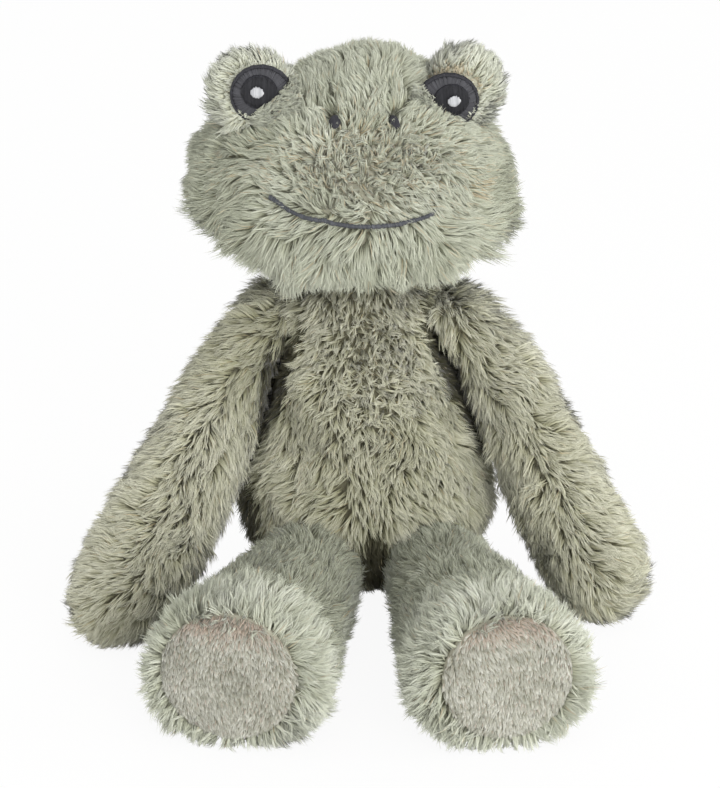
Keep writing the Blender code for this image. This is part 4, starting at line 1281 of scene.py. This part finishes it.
# Soles
# A padded oval of short-pile fabric, greyer and more beige than the fur, gathered in at
# its edge. The pile is about 3 mm long and lies downwards.
SOLE_PILE = 0.0028
SOLE_DOME = 0.0022
SOLE_CURVE = 2.4  # higher is flatter in the middle
SOLE_TUCK = 0.0012  # how far the edge is gathered in
TUCK_CURVE = 14
SOLE_SINK = 0.0006
SOLE_BACK = 0.0022
SOLE_RINGS = 12
SOLE_AROUND = 56
SOLE_GROWN = {"left": (1.0, 1.03), "right": (1.05, 1.05)}  # width and height against the CAD
SOLE_LOCK_GAP = 0.0009
SOLE_STOPS = (0.0, 0.28, 0.52, 0.80, 0.92, 1.0)
SOLE_TONES = "#96958A #AFAFA1 #C2C1B5 #D8D8CE #BDAC9E #CCBFB2".split()
SOLE_SHADE = ((0.0, "#B4B1A4"), (0.4, "#E6E4DC"), (0.8, "#FFFFFF"))
# Brushed polyester with a stronger sheen than the fur's, because its pile is so short
sole_finish = PILE_FINISH | {"Sheen Weight": 0.35}
tones = list(zip(SOLE_STOPS, SOLE_TONES))
sole_pile = strand_material("short beige-grey pile", tones, SOLE_SHADE, sole_finish)
sole_backing = backing_material("sole backing", "#A9A797", "#8F8C7C")


def sole_height(share):
    """Height of the dome at a share of the way from its middle to its edge."""
    dome = front_face - SOLE_SINK + SOLE_DOME * (1.0 - share**SOLE_CURVE)
    return dome - SOLE_TUCK * share**TUCK_CURVE


for hand in SIDES:
    middle, outward, sideways, upward, wide, tall = plate_frame(f"sole_{hand}")
    points = vertex_rows(frame["nodes"][f"sole_{hand}"].data, "co")
    front_face = ((points - middle) @ outward).max()
    wide *= SOLE_GROWN[hand][0]
    tall *= SOLE_GROWN[hand][1]
    verts = [middle + outward * (front_face - SOLE_SINK + SOLE_DOME)]
    for ring in range(1, SOLE_RINGS + 1):
        share = ring / SOLE_RINGS
        for number in range(SOLE_AROUND):
            turn = math.tau * number / SOLE_AROUND
            across = share * wide * math.cos(turn) * sideways
            up = share * tall * math.sin(turn) * upward
            verts.append(middle + outward * sole_height(share) + across + up)
    verts += [vert - outward * SOLE_BACK for vert in verts[-SOLE_AROUND:]]
    verts.append(middle - outward * SOLE_BACK)
    steps = [(n, (n + 1) % SOLE_AROUND) for n in range(SOLE_AROUND)]
    polygons = [(0, 1 + n, 1 + m) for n, m in steps]
    for ring in range(SOLE_RINGS):
        start = 1 + ring * SOLE_AROUND
        after = start + SOLE_AROUND
        polygons += [(start + n, after + n, after + m, start + m) for n, m in steps]
    polygons += [(after + n, len(verts) - 1, after + m) for n, m in steps]
    mesh = bpy.data.meshes.new(f"sole_pad_{hand}")
    mesh.from_pydata(verts, [], polygons)
    face_outward(mesh)
    piece = add_piece(f"sole_pad_{hand}", mesh, sole_backing, f"leg_{hand}")
    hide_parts(f"sole_{hand}")

    rng = np.random.default_rng(71)
    grid = np.arange(-tall * 1.1, tall * 1.1, SOLE_LOCK_GAP)
    across, up = (axis.ravel() for axis in np.meshgrid(grid, grid))
    across = across + rng.uniform(-0.5, 0.5, len(across)) * SOLE_LOCK_GAP
    up = up + rng.uniform(-0.5, 0.5, len(up)) * SOLE_LOCK_GAP
    share = np.hypot(across / wide, up / tall)
    on = share < 0.985
    across, up, share = across[on], up[on], share[on]
    slope = -SOLE_DOME * SOLE_CURVE * share**1.4 - SOLE_TUCK * TUCK_CURVE * share**13
    slope = slope / np.maximum(share, 1e-6)
    gradient = (slope * across / wide**2)[:, None] * sideways
    gradient += (slope * up / tall**2)[:, None] * upward
    normals = unit(outward - gradient)
    roots = middle + outward * (sole_height(share) - 0.0003)[:, None] + across[:, None] * sideways
    roots = roots + up[:, None] * upward
    lie = -upward - normals * (normals @ -upward)[:, None]
    count = len(up)
    stray = 0.5 * drift(roots, 0.014, 72) + rng.normal(0.0, 0.18, count)
    locks = {
        "root": roots,
        "normal": normals,
        "comb": turned(unit(lie), normals, stray),
        "length": SOLE_PILE * rng.uniform(0.85, 1.1, count),
        "start": np.full(count, 0.70),
        "end": 1.44 + rng.normal(0.0, 0.08, count),
        "sway": rng.normal(0.0, 0.08, count),
        "hug": np.clip(rng.normal(0.50, 0.15, count), 0.0, 0.9),
        # tone: darkened at the top edge with painted shadow under the leg's ruff of fur
        "tone": 0.60
        + 0.12 * drift(roots, 0.008, 73)
        + 0.13 * drift(roots, 0.0022, 74)
        + rng.normal(0.0, 0.20, count)
        - 0.55 * ease(0.0165, 0.020, up),
        "tan": 0.04 + 0.65 * ease(0.010, 0.019, up),
    }
    fine = {"hairs": 6, "width": 0.00032, "spread": 0.0008}
    add_fur(f"sole_pile_{hand}", locks, f"leg_{hand}", sole_pile, "sole_pile", 700, **fine)
